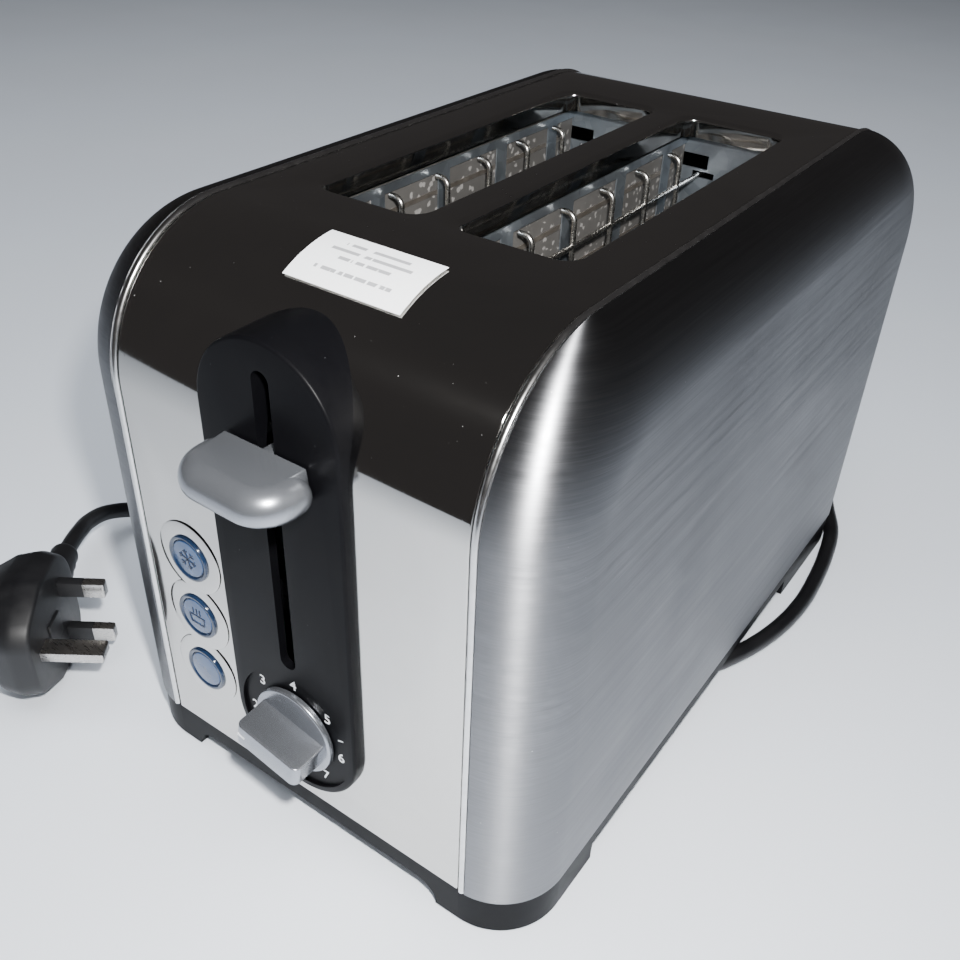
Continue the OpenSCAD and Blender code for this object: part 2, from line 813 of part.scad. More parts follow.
// Sets a piece of the plug, drawn with its pins along X and its cord along Y, in its place
module plug_pose() {
    translate(plug_at) rotate([0, 0, plug_turn]) children();
}

// Outline of the plug's face in Y and Z, moved in by d
module plug_outline(d) {
    l = plug_top - plug_bottom;
    translate([(plug_top + plug_bottom) / 2, 0]) round_rect(l - 2 * d, plug_w - 2 * d, 9 - d / 2);
}

// Moulded body of the plug
module plug_body() {
    color("#141416") plug_pose() {
        hull() {
            along_x(-3, 0) plug_outline(1.5);
            along_x(-8, -6) plug_outline(0);
        }
        hull() {
            along_x(-8, -6) plug_outline(0);
            along_x(-plug_depth, -plug_depth + 1) plug_outline(6);
        }
    }
}

// Moulded bend relief between the plug and the cord
module plug_boot() {
    color("#141416") plug_pose() translate([boot_x, boot_y, 0]) rotate([-90, 0, 0]) {
        cylinder(r1 = 8.5, r2 = 6.5, h = boot_l * 0.6);
        translate([0, 0, boot_l * 0.6]) cylinder(r1 = 6.5, r2 = 5, h = boot_l * 0.4 - 2);
    }
}

// Earth, line and neutral pins
module plug_pins() {
    color("silver") plug_pose() {
        block([0, -pin_pitch - 4, -2], [22.7, -pin_pitch + 4, 2]);
        for (s = [-1, 1])
            block([sleeved, -2, s * pin_pitch / 2 - 3.2], [17.7, 2, s * pin_pitch / 2 + 3.2]);
    }
}

// Insulating sleeves at the root of the line and neutral pins
module pin_sleeves() {
    color("#141416") plug_pose() for (s = [-1, 1])
        block([0, -2, s * pin_pitch / 2 - 3.2], [sleeved, 2, s * pin_pitch / 2 + 3.2]);
}

// Small cover between the pins that holds the fuse
module fuse_carrier() {
    color("#1b1b1e") plug_pose() block([0, -16, -5], [0.8, -6, 5]);
}

place() wrap_band();
place() mirror([1, 0, 0]) side_shell();  // left_side_shell
place() side_shell();  // right_side_shell
place() base_tray();
place() rubber_feet();
place() control_strip();
place() strip_screws();
place() slot_rims();
place() top_label();
place() end_plate();  // front_end_plate
place() mirror([0, 1, 0]) end_plate();  // rear_end_plate
place() mirror([1, 0, 0]) reflector();  // left_reflector
place() reflector();  // right_reflector
place() heater_board(-outer_board_x);  // left_outer_heater
place() heater_board(-inner_board_x);  // left_inner_heater
place() heater_board(inner_board_x);  // right_inner_heater
place() heater_board(outer_board_x);  // right_outer_heater
place() heating_ribbons();
place() board_clips();
place() base_screws();
place() guard(-outer_guard_x, -1);  // left_outer_guard
place() guard(-inner_guard_x, 1);  // left_inner_guard
place() guard(inner_guard_x, -1);  // right_inner_guard
place() guard(outer_guard_x, 1);  // right_outer_guard
place() guide_rod();
place() rod_bracket();
place() return_spring();
place() carriage();
place() lever_knob();
place() bread_rack(-slot_x);  // left_bread_rack
place() bread_rack(slot_x);  // right_bread_rack
place() latch_keeper();
place() magnet_core();
place() magnet_coil();
place() control_board();
place() board_parts();
place() button_switches();
place() dial_control();
place() dial_spindle();
place() dial_knob();
place() button(button_zs[0]);  // defrost_button
place() button(button_zs[1]);  // reheat_button
place() button(button_zs[2]);  // cancel_button
place() crumb_tray();
place() tray_grip();
place() terminal_block();
place() cord_sleeve();
place() mains_cord();
place() plug_body();
place() plug_boot();
place() plug_pins();
place() pin_sleeves();
place() fuse_carrier();
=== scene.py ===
"""Visual model of a two slot pop up toaster, laid out as an add-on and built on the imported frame."""
import json
import math

import bmesh
import bpy
from bpy.props import FloatProperty, FloatVectorProperty, IntProperty, PointerProperty
from mathutils import Matrix, Vector


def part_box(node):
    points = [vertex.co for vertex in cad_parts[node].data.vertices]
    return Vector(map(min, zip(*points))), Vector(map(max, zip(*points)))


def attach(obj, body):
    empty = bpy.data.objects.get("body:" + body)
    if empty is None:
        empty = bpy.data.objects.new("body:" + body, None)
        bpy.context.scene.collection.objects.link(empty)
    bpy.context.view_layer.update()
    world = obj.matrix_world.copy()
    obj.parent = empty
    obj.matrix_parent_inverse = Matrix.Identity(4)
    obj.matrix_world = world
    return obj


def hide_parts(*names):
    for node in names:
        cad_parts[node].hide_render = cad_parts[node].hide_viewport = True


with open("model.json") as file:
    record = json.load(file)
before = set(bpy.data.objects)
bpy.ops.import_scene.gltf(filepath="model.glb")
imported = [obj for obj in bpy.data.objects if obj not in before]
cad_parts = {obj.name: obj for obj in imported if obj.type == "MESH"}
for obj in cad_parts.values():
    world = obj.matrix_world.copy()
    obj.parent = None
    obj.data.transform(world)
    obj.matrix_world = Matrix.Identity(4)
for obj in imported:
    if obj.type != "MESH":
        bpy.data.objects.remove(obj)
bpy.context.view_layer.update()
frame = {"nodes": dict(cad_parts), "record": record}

bl_info = {
    "name": "Two slot toaster",
    "version": (1, 0, 0),
    "blender": (4, 5, 0),
    "location": "View3D > Sidebar > Toaster",
    "description": "Builds the visible pieces, finishes and studio of a two slot pop up toaster",
    "category": "Object",
}

MM = 0.001
RECORD = frame["record"]
NODES = frame["nodes"]
HOUSING = "housing"


# ---------------------------------------------------------------- sizes and colours

def metres(name, description, default, low, high):
    """A length that a user can change, in metres."""
    return FloatProperty(name=name, description=description, default=default, min=low, max=high,
                         unit="LENGTH")


def base_colour(name, description, default):
    """A base colour that a user can change."""
    return FloatVectorProperty(name=name, description=description, subtype="COLOR", size=3,
                               default=default, min=0.0, max=1.0)


class ToasterSizes(bpy.types.PropertyGroup):
    """Sizes of the visible pieces that the frame doesn't give."""
    corner_radius: metres(
        "Corner radius", "Radius of the body's top corners seen from the side", 0.046, 0.02, 0.06)
    roll_radius: metres("Roll radius", "Radius of the rolled edges of the side shells", 0.023, 0.01, 0.04)
    sheet: metres("Sheet", "Thickness of the steel sheet", 0.0008, 0.0004, 0.002)
    band_step: metres("Band step", "How far the centre panel lies below the side shells", 0.0005, 0.0, 0.002)
    slot_lip: metres("Slot lip", "Radius of the rounded edge of the bread slots", 0.0018, 0.0005, 0.003)
    slot_corner: metres("Slot corner", "Corner radius of the bread slots", 0.006, 0.002, 0.01)
    bead: metres("Bead", "Radius of the bead along the side shells' edges", 0.0011, 0.0005, 0.002)
    arc_steps: IntProperty(
        name="Arc steps", description="Number of segments in the large rounded corners",
        default=40, min=8, max=96)


class ToasterColours(bpy.types.PropertyGroup):
    """Base colours of the finishes."""
    polished: base_colour("Polished steel", "Colour of the mirror polished centre panel", (0.60, 0.59, 0.57))
    brushed: base_colour("Brushed steel", "Colour of the brushed side shells", (0.27, 0.275, 0.29))
    strip: base_colour("Strip plastic", "Colour of the control strip", (0.0022, 0.0022, 0.0028))
    base: base_colour("Base plastic", "Colour of the base and its feet", (0.005, 0.0052, 0.0062))
    silver: base_colour("Silver paint", "Colour of the painted lever and dial", (0.30, 0.315, 0.345))
    button: base_colour("Button blue", "Colour of the push buttons", (0.012, 0.030, 0.075))
    floor: base_colour("Floor", "Colour of the studio floor", (0.84, 0.88, 0.95))


def sizes():
    return bpy.context.scene.toaster_sizes


def colours():
    return bpy.context.scene.toaster_colours


# ---------------------------------------------------------------- modelling helpers

def select_only(obj):
    """Deselects everything and makes obj the one selected, active object."""
    bpy.ops.object.select_all(action="DESELECT")
    obj.select_set(True)
    bpy.context.view_layer.objects.active = obj


def bake_place(obj):
    """Moves an object's place, turn and scale into its mesh."""
    select_only(obj)
    bpy.ops.object.transform_apply(location=True, rotation=True, scale=True)


def block(name, low, high):
    """Adds a cube that spans two corners."""
    bpy.ops.object.select_all(action="DESELECT")
    low, high = Vector(low), Vector(high)
    bpy.ops.mesh.primitive_cube_add(size=1, location=(low + high) / 2)
    obj = bpy.context.active_object
    obj.name = name
    obj.scale = high - low
    bake_place(obj)
    return obj


def drum(name, radius, start, end, vertices=64):
    """Adds a cylinder between two points that differ along one axis."""
    bpy.ops.object.select_all(action="DESELECT")
    start, end = Vector(start), Vector(end)
    turn = (end - start).to_track_quat("Z", "Y").to_euler()
    bpy.ops.mesh.primitive_cylinder_add(
        vertices=vertices, radius=radius, depth=(end - start).length,
        location=(start + end) / 2, rotation=turn)
    obj = bpy.context.active_object
    obj.name = name
    bake_place(obj)
    return obj


def pick(obj, mode, test):
    """In edit mode, selects only the vertices, edges or faces that pass a test."""
    bpy.ops.mesh.select_mode(type=mode)
    bpy.ops.mesh.select_all(action="DESELECT")
    mesh = bmesh.from_edit_mesh(obj.data)
    parts = {"VERT": mesh.verts, "EDGE": mesh.edges, "FACE": mesh.faces}[mode]
    count = 0
    for part in parts:
        if test(part):
            part.select = True
            count += 1
    mesh.select_flush_mode()
    bmesh.update_edit_mesh(obj.data)
    if count == 0:
        raise RuntimeError(f"nothing to select on {obj.name}")
    return count


def middle(edge):
    return (edge.verts[0].co + edge.verts[1].co) / 2


def along(edge):
    return (edge.verts[1].co - edge.verts[0].co).normalized()


def bevel_edges(obj, test, width, segments):
    """Rounds the edges that pass a test."""
    select_only(obj)
    bpy.ops.object.mode_set(mode="EDIT")
    pick(obj, "EDGE", test)
    bpy.ops.mesh.bevel(offset=width, segments=segments, affect="EDGES", clamp_overlap=False)
    bpy.ops.object.mode_set(mode="OBJECT")


def delete_faces(obj, test):
    """Deletes the faces that pass a test."""
    select_only(obj)
    bpy.ops.object.mode_set(mode="EDIT")
    pick(obj, "FACE", test)
    bpy.ops.mesh.delete(type="FACE")
    bpy.ops.object.mode_set(mode="OBJECT")


def modify(obj, kind, **settings):
    """Adds a modifier with these settings and applies it."""
    select_only(obj)
    bpy.ops.object.modifier_add(type=kind)
    modifier = obj.modifiers[-1]
    for key, value in settings.items():
        setattr(modifier, key, value)
    bpy.ops.object.modifier_apply(modifier=modifier.name)


def cut(obj, cutter, operation="DIFFERENCE"):
    """Cuts obj with another object, which is then removed."""
    modify(obj, "BOOLEAN", object=cutter, operation=operation, solver="EXACT")
    bpy.data.objects.remove(cutter, do_unlink=True)


def smooth(obj, angle=35):
    select_only(obj)
    bpy.ops.object.shade_smooth_by_angle(angle=math.radians(angle))


def duplicate(obj, name, matrix=None):
    """Copies obj with its own mesh and moves the copy's mesh by a matrix."""
    select_only(obj)
    bpy.ops.object.duplicate(linked=False)
    copy = bpy.context.active_object
    copy.name = name
    if matrix is not None:
        copy.data.transform(matrix)
        if matrix.determinant() < 0:
            copy.data.flip_normals()
    return copy


def join(objects, name):
    """Joins several objects into one."""
    bpy.ops.object.select_all(action="DESELECT")
    for obj in objects:
        obj.select_set(True)
    bpy.context.view_layer.objects.active = objects[0]
    bpy.ops.object.join()
    objects[0].name = name
    return objects[0]


def settle(obj, body, finish, replaces=()):
    """Gives a finished piece its material, its body and the CAD nodes that it stands for."""
    obj.data.materials.clear()
    obj.data.materials.append(finish)
    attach(obj, body)
    if replaces:
        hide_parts(*replaces)
    return obj


def dress(node, finish):
    """Gives a carried-over CAD node a finish."""
    obj = NODES[node]
    if not obj.material_slots:
        obj.data.materials.append(finish)
    for slot in obj.material_slots:
        slot.material = finish


def node_box(node):
    low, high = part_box(node)
    return Vector(low), Vector(high)


# ---------------------------------------------------------------- shared shader groups

def new_group(name, inputs, outputs):
    """Makes an empty shader group with named float, colour or vector sockets."""
    group = bpy.data.node_groups.new(name, "ShaderNodeTree")
    for label, kind, value in inputs:
        socket = group.interface.new_socket(name=label, in_out="INPUT", socket_type=kind)
        if value is not None:
            socket.default_value = value
    for label, kind in outputs:
        group.interface.new_socket(name=label, in_out="OUTPUT", socket_type=kind)
    first = group.nodes.new("NodeGroupInput")
    last = group.nodes.new("NodeGroupOutput")
    return group, first, last


def add_node(tree, kind, **settings):
    node = tree.nodes.new(kind)
    for key, value in settings.items():
        if key in {"inputs"}:
            for socket, number in value.items():
                node.inputs[socket].default_value = number
        else:
            setattr(node, key, value)
    return node


def math_node(tree, operation, a, b=None):
    """Adds a math node fed by links or numbers."""
    node = tree.nodes.new("ShaderNodeMath")
    node.operation = operation
    for index, value in enumerate((a, b)):
        if value is None:
            continue
        if isinstance(value, (int, float)):
            node.inputs[index].default_value = value
        else:
            tree.links.new(value, node.inputs[index])
    return node.outputs[0]


def ramp(tree, fac, low, high):
    """Maps a value from low..high to 0..1 and clamps it."""
    node = tree.nodes.new("ShaderNodeMapRange")
    node.inputs["From Min"].default_value = low
    node.inputs["From Max"].default_value = high
    tree.links.new(fac, node.inputs["Value"])
    return node.outputs["Result"]


def dust_group():
    """Specks of dust and lint that settle on a surface."""
    name = "Settled dust"
    if name in bpy.data.node_groups:
        return bpy.data.node_groups[name]
    group, first, last = new_group(
        name,
        [("Vector", "NodeSocketVector", None), ("Scale", "NodeSocketFloat", 300.0),
         ("Amount", "NodeSocketFloat", 0.5)],
        [("Mask", "NodeSocketFloat")])
    cells = add_node(group, "ShaderNodeTexVoronoi", feature="F1")
    patches = add_node(group, "ShaderNodeTexNoise", inputs={"Scale": 28.0, "Detail": 2.0})
    group.links.new(first.outputs["Vector"], cells.inputs["Vector"])
    group.links.new(first.outputs["Scale"], cells.inputs["Scale"])
    group.links.new(first.outputs["Vector"], patches.inputs["Vector"])
    near = ramp(group, cells.outputs["Distance"], 0.10, 0.03)
    rare = add_node(group, "ShaderNodeSeparateColor")
    group.links.new(cells.outputs["Color"], rare.inputs["Color"])
    chosen = math_node(group, "LESS_THAN", rare.outputs[0], first.outputs["Amount"])
    area = ramp(group, patches.outputs["Fac"], 0.35, 0.65)
    mask = math_node(group, "MULTIPLY", near, chosen)
    mask = math_node(group, "MULTIPLY", mask, area)
    group.links.new(mask, last.inputs["Mask"])
    return group


def grain_group():
    """Fine parallel brush lines, stretched along the level directions."""
    name = "Brush lines"
    if name in bpy.data.node_groups:
        return bpy.data.node_groups[name]
    group, first, last = new_group(
        name,
        [("Vector", "NodeSocketVector", None), ("Contrast", "NodeSocketFloat", 1.0)],
        [("Lines", "NodeSocketFloat"), ("Streaks", "NodeSocketFloat")])
    fine_map = add_node(group, "ShaderNodeMapping", inputs={"Scale": (110.0, 22.0, 2600.0)})
    fine = add_node(group, "ShaderNodeTexNoise", inputs={"Scale": 1.0, "Detail": 3.0, "Roughness": 0.7})
    wide_map = add_node(group, "ShaderNodeMapping", inputs={"Scale": (60.0, 9.0, 420.0)})
    wide = add_node(group, "ShaderNodeTexNoise", inputs={"Scale": 1.0, "Detail": 2.0})
    for mapping, noise in ((fine_map, fine), (wide_map, wide)):
        group.links.new(first.outputs["Vector"], mapping.inputs["Vector"])
        group.links.new(mapping.outputs["Vector"], noise.inputs["Vector"])
    centred = math_node(group, "SUBTRACT", fine.outputs["Fac"], 0.5)
    scaled = math_node(group, "MULTIPLY", centred, first.outputs["Contrast"])
    lines = math_node(group, "ADD", scaled, 0.5)
    group.links.new(lines, last.inputs["Lines"])
    group.links.new(wide.outputs["Fac"], last.inputs["Streaks"])
    return group


def smudge_group():
    """Soft cloudy wipe marks that change a gloss."""
    name = "Wipe marks"
    if name in bpy.data.node_groups:
        return bpy.data.node_groups[name]
    group, first, last = new_group(
        name,
        [("Vector", "NodeSocketVector", None), ("Scale", "NodeSocketFloat", 18.0)],
        [("Mask", "NodeSocketFloat")])
    warp = add_node(group, "ShaderNodeTexNoise", inputs={"Detail": 5.0, "Roughness": 0.62, "Distortion": 0.8})
    group.links.new(first.outputs["Vector"], warp.inputs["Vector"])
    group.links.new(first.outputs["Scale"], warp.inputs["Scale"])
    soft = ramp(group, warp.outputs["Fac"], 0.38, 0.72)
    group.links.new(soft, last.inputs["Mask"])
    return group


# ---------------------------------------------------------------- finishes

class Finish:
    """A material under construction, with its principled shader and Object coordinates."""

    def __init__(self, name, colour, metallic, roughness):
        self.material = bpy.data.materials.new(name)
        self.material.use_nodes = True
        self.tree = self.material.node_tree
        self.shader = self.tree.nodes["Principled BSDF"]
        self.shader.inputs["Base Color"].default_value = (*colour, 1.0)
        self.shader.inputs["Metallic"].default_value = metallic
        self.shader.inputs["Roughness"].default_value = roughness
        self.coords = self.tree.nodes.new("ShaderNodeTexCoord").outputs["Object"]
        self.height = None

    def link(self, output, socket):
        self.tree.links.new(output, self.shader.inputs[socket])

    def group(self, tree, **values):
        node = self.tree.nodes.new("ShaderNodeGroup")
        node.node_tree = tree
        self.tree.links.new(self.coords, node.inputs["Vector"])
        for key, value in values.items():
            node.inputs[key.replace("_", " ").title()].default_value = value
        return node

    def noise(self, scale, detail=2.0, roughness=0.5, stretch=None):
        node = add_node(self.tree, "ShaderNodeTexNoise",
                        inputs={"Scale": scale, "Detail": detail, "Roughness": roughness})
        source = self.coords
        if stretch is not None:
            mapping = add_node(self.tree, "ShaderNodeMapping", inputs={"Scale": stretch})
            self.tree.links.new(source, mapping.inputs["Vector"])
            source = mapping.outputs["Vector"]
        self.tree.links.new(source, node.inputs["Vector"])
        return node.outputs["Fac"]

    def mix(self, fac, low, high):
        """Blends two colours or links by a mask."""
        node = self.tree.nodes.new("ShaderNodeMix")
        node.data_type = "RGBA"
        self.tree.links.new(fac, node.inputs["Factor"])
        for index, value in ((6, low), (7, high)):
            if isinstance(value, tuple):
                node.inputs[index].default_value = (*value, 1.0)
            else:
                self.tree.links.new(value, node.inputs[index])
        return node.outputs[2]

    def span(self, fac, low, high):
        """Maps 0..1 to low..high."""
        node = self.tree.nodes.new("ShaderNodeMapRange")
        node.inputs["To Min"].default_value = low
        node.inputs["To Max"].default_value = high
        self.tree.links.new(fac, node.inputs["Value"])
        return node.outputs["Result"]

    def up_the_face(self):
        """Direction in the surface, square to the level brush lines."""
        face = self.tree.nodes.new("ShaderNodeNewGeometry").outputs["Normal"]
        level = add_node(self.tree, "ShaderNodeVectorMath", operation="CROSS_PRODUCT")
        level.inputs[0].default_value = (0, 0, 1)
        self.tree.links.new(face, level.inputs[1])
        rise = add_node(self.tree, "ShaderNodeVectorMath", operation="CROSS_PRODUCT")
        self.tree.links.new(face, rise.inputs[0])
        self.tree.links.new(level.outputs["Vector"], rise.inputs[1])
        return rise.outputs["Vector"]

    def bump(self, height, strength, distance):
        node = add_node(self.tree, "ShaderNodeBump", inputs={"Strength": strength, "Distance": distance})
        self.tree.links.new(height, node.inputs["Height"])
        if self.height is not None:
            self.tree.links.new(self.height, node.inputs["Normal"])
        self.height = node.outputs["Normal"]
        self.link(self.height, "Normal")


def tint(colour, factor):
    return tuple(min(1.0, channel * factor) for channel in colour)


def polished_steel():
    """Mirror polished sheet with wipe marks, hairlines and dust."""
    base = tuple(colours().polished)
    finish = Finish("Polished steel", base, 1.0, 0.06)
    smudge = finish.group(smudge_group(), scale=14.0).outputs["Mask"]
    dust = finish.group(dust_group(), scale=420.0, amount=0.32).outputs["Mask"]
    hair = ramp(finish.tree, finish.noise(1.0, 2.0, 0.6, (900.0, 900.0, 30.0)), 0.66, 0.74)
    shade = finish.mix(smudge, base, tint(base, 0.90))
    finish.link(finish.mix(dust, shade, (0.80, 0.80, 0.82)), "Base Color")
    rough = finish.span(smudge, 0.055, 0.09)
    rough = math_node(finish.tree, "ADD", rough, math_node(finish.tree, "MULTIPLY", dust, 0.5))
    finish.link(rough, "Roughness")
    finish.shader.inputs["Anisotropic"].default_value = 0.92
    across = add_node(finish.tree, "ShaderNodeCombineXYZ", inputs={"X": 1.0, "Y": 0.0, "Z": 0.0})
    finish.link(across.outputs["Vector"], "Tangent")
    finish.bump(hair, 0.12, 0.00003)
    return finish.material


def brushed_steel():
    """Brushed pressing with level grain that wraps round the corners."""
    base = tuple(colours().brushed)
    finish = Finish("Brushed steel", base, 1.0, 0.3)
    grain = finish.group(grain_group(), contrast=1.3)
    lines, streaks = grain.outputs["Lines"], grain.outputs["Streaks"]
    dust = finish.group(dust_group(), scale=380.0, amount=0.06).outputs["Mask"]
    smudge = finish.group(smudge_group(), scale=9.0).outputs["Mask"]
    shade = finish.mix(lines, tint(base, 0.70), tint(base, 1.25))
    shade = finish.mix(smudge, shade, tint(base, 0.93))
    finish.link(finish.mix(dust, shade, (0.85, 0.86, 0.88)), "Base Color")
    rough = finish.span(streaks, 0.30, 0.46)
    wiped = math_node(finish.tree, "MULTIPLY", smudge, 0.05)
    finish.link(math_node(finish.tree, "ADD", rough, wiped), "Roughness")
    finish.shader.inputs["Anisotropic"].default_value = 0.95
    finish.link(finish.up_the_face(), "Tangent")
    finish.bump(lines, 0.18, 0.00006)
    return finish.material


def moulded_plastic(name, colour, roughness, grain_scale=1400.0, dust_amount=0.06):
    """Satin moulded plastic with a fine spark texture, wipe marks and dust."""
    finish = Finish(name, colour, 0.0, roughness)
    smudge = finish.group(smudge_group(), scale=30.0).outputs["Mask"]
    dust = finish.group(dust_group(), scale=520.0, amount=dust_amount).outputs["Mask"]
    speck = finish.noise(grain_scale, 2.0, 0.6)
    shade = finish.mix(speck, tint(colour, 0.85), tint(colour, 1.2))
    shade = finish.mix(smudge, shade, tuple(channel + 0.0012 for channel in colour))
    finish.link(finish.mix(dust, shade, (0.30, 0.31, 0.33)), "Base Color")
    finish.link(finish.span(smudge, roughness * 0.9, roughness * 1.2), "Roughness")
    finish.shader.inputs["Specular IOR Level"].default_value = 0.06
    finish.bump(speck, 0.12, 0.00005)
    return finish.material


def silver_paint():
    """Metallic silver paint on a moulding, with a fine flake and rubbed spots."""
    base = tuple(colours().silver)
    finish = Finish("Silver paint", base, 0.85, 0.26)
    flake = finish.noise(2600.0, 2.0, 0.8)
    wear = finish.noise(55.0, 3.0, 0.5)
    shade = finish.mix(flake, tint(base, 0.86), tint(base, 1.16))
    finish.link(finish.mix(wear, tint(base, 0.95), shade), "Base Color")
    finish.link(finish.span(wear, 0.22, 0.30), "Roughness")
    finish.bump(flake, 0.12, 0.00005)
    return finish.material


def blue_plastic(name, base):
    """Glossy tinted plastic of the push buttons."""
    finish = Finish(name, base, 0.0, 0.16)
    cloud = finish.noise(220.0, 3.0)
    finish.link(finish.mix(cloud, tint(base, 0.8), tint(base, 1.5)), "Base Color")
    smudge = finish.group(smudge_group(), scale=120.0).outputs["Mask"]
    finish.link(finish.span(smudge, 0.12, 0.24), "Roughness")
    finish.shader.inputs["Coat Weight"].default_value = 0.5
    finish.shader.inputs["Coat Roughness"].default_value = 0.08
    finish.bump(finish.noise(700.0, 2.0), 0.22, 0.0001)
    return finish.material


def plain_ink(name, colour):
    """Printed or moulded marks with a slightly uneven ink."""
    finish = Finish(name, colour, 0.0, 0.45)
    finish.link(finish.mix(finish.noise(1500.0, 2.0), tint(colour, 0.86), tint(colour, 1.05)), "Base Color")
    return finish.material


def galvanised_steel():
    """Galvanised sheet with a soft bluish spangle and heat stains."""
    finish = Finish("Galvanised steel", (0.52, 0.56, 0.61), 0.9, 0.34)
    spangle = add_node(finish.tree, "ShaderNodeTexVoronoi", feature="F1", inputs={"Scale": 160.0})
    finish.tree.links.new(finish.coords, spangle.inputs["Vector"])
    split = add_node(finish.tree, "ShaderNodeSeparateColor")
    finish.tree.links.new(spangle.outputs["Color"], split.inputs["Color"])
    shade = finish.mix(split.outputs[0], (0.26, 0.30, 0.34), (0.42, 0.47, 0.52))
    stain = finish.group(smudge_group(), scale=22.0).outputs["Mask"]
    finish.link(finish.mix(stain, shade, (0.22, 0.24, 0.27)), "Base Color")
    finish.link(finish.span(split.outputs[1], 0.28, 0.46), "Roughness")
    finish.bump(finish.noise(70.0, 2.0), 0.2, 0.0002)
    return finish.material


def bright_wire():
    """Drawn wire with fine scratches."""
    finish = Finish("Bright wire", (0.66, 0.65, 0.62), 1.0, 0.22)
    scratch = finish.noise(700.0, 3.0, 0.7)
    finish.link(finish.mix(scratch, (0.50, 0.48, 0.44), (0.78, 0.77, 0.74)), "Base Color")
    finish.link(finish.span(scratch, 0.18, 0.36), "Roughness")
    return finish.material


def plated_steel():
    """Zinc plated steel of rods, screws and springs."""
    finish = Finish("Zinc plated steel", (0.50, 0.51, 0.52), 1.0, 0.32)
    cloud = finish.noise(260.0, 4.0, 0.6)
    finish.link(finish.mix(cloud, (0.40, 0.41, 0.42), (0.60, 0.60, 0.58)), "Base Color")
    finish.link(finish.span(cloud, 0.26, 0.42), "Roughness")
    finish.bump(cloud, 0.08, 0.00008)
    return finish.material


def mica_board():
    """Grey mica board with shiny flakes and a cloudy body."""
    finish = Finish("Mica board", (0.20, 0.19, 0.175), 0.0, 0.5)
    cloud = finish.noise(45.0, 6.0, 0.65)
    flake = add_node(finish.tree, "ShaderNodeTexVoronoi", feature="F1", inputs={"Scale": 700.0})
    finish.tree.links.new(finish.coords, flake.inputs["Vector"])
    split = add_node(finish.tree, "ShaderNodeSeparateColor")
    finish.tree.links.new(flake.outputs["Color"], split.inputs["Color"])
    glint = math_node(finish.tree, "GREATER_THAN", split.outputs[0], 0.9)
    shade = finish.mix(cloud, (0.045, 0.043, 0.040), (0.11, 0.105, 0.10))
    finish.link(finish.mix(glint, shade, (0.26, 0.25, 0.24)), "Base Color")
    finish.link(finish.span(glint, 0.55, 0.2), "Roughness")
    finish.bump(cloud, 0.25, 0.0002)
    return finish.material


def heating_wire():
    """Oxidised resistance ribbon."""
    finish = Finish("Heating ribbon", (0.30, 0.27, 0.23), 0.9, 0.45)
    oxide = finish.noise(300.0, 3.0)
    finish.link(finish.mix(oxide, (0.20, 0.17, 0.14), (0.44, 0.40, 0.36)), "Base Color")
    finish.link(finish.span(oxide, 0.35, 0.55), "Roughness")
    return finish.material


def circuit_green():
    """Green solder mask with copper tracks under it."""
    finish = Finish("Circuit board", (0.01, 0.16, 0.07), 0.0, 0.3)
    track = add_node(finish.tree, "ShaderNodeTexBrick", offset=0.5,
                     inputs={"Scale": 130.0, "Mortar Size": 0.06, "Brick Width": 0.7, "Row Height": 0.3})
    finish.tree.links.new(finish.coords, track.inputs["Vector"])
    finish.link(finish.mix(track.outputs["Fac"], (0.008, 0.13, 0.06), (0.03, 0.30, 0.14)), "Base Color")
    finish.link(finish.span(finish.noise(400.0), 0.22, 0.4), "Roughness")
    finish.bump(track.outputs["Fac"], 0.3, 0.00005)
    return finish.material


def copper_winding():
    """Enamelled copper wire wound in close turns."""
    finish = Finish("Copper winding", (0.42, 0.16, 0.06), 0.9, 0.3)
    turns = add_node(finish.tree, "ShaderNodeTexWave", wave_type="BANDS", bands_direction="Z",
                     inputs={"Scale": 320.0, "Distortion": 0.2})
    finish.tree.links.new(finish.coords, turns.inputs["Vector"])
    finish.link(finish.mix(turns.outputs["Fac"], (0.25, 0.08, 0.03), (0.55, 0.22, 0.08)), "Base Color")
    finish.link(finish.span(turns.outputs["Fac"], 0.45, 0.25), "Roughness")
    finish.bump(turns.outputs["Fac"], 0.6, 0.0002)
    return finish.material


def rubber_finish(name, colour, roughness):
    """Black rubber or cord jacket with faint scuffs."""
    finish = Finish(name, colour, 0.0, roughness)
    scuff = finish.group(smudge_group(), scale=45.0).outputs["Mask"]
    dust = finish.group(dust_group(), scale=460.0, amount=0.08).outputs["Mask"]
    fine = finish.noise(1800.0, 2.0, 0.7)
    shade = finish.mix(scuff, colour, tuple(channel + 0.005 for channel in colour))
    finish.link(finish.mix(dust, shade, (0.22, 0.22, 0.23)), "Base Color")
    finish.link(finish.span(scuff, roughness, roughness * 1.35), "Roughness")
    finish.bump(fine, 0.2, 0.00004)
    return finish.material


def bead_painted_highlight_finish():
    """Folded edge beside the seams, its base colour painted lighter than the steel around it as a painted
    highlight, rubbed here and there.
    """
    finish = Finish("Rolled bead painted highlight", (0.72, 0.72, 0.72), 1.0, 0.18)
    rub = finish.noise(300.0, 3.0)
    finish.link(finish.mix(rub, (0.56, 0.56, 0.56), (0.80, 0.80, 0.80)), "Base Color")
    finish.link(finish.span(rub, 0.14, 0.30), "Roughness")
    return finish.material


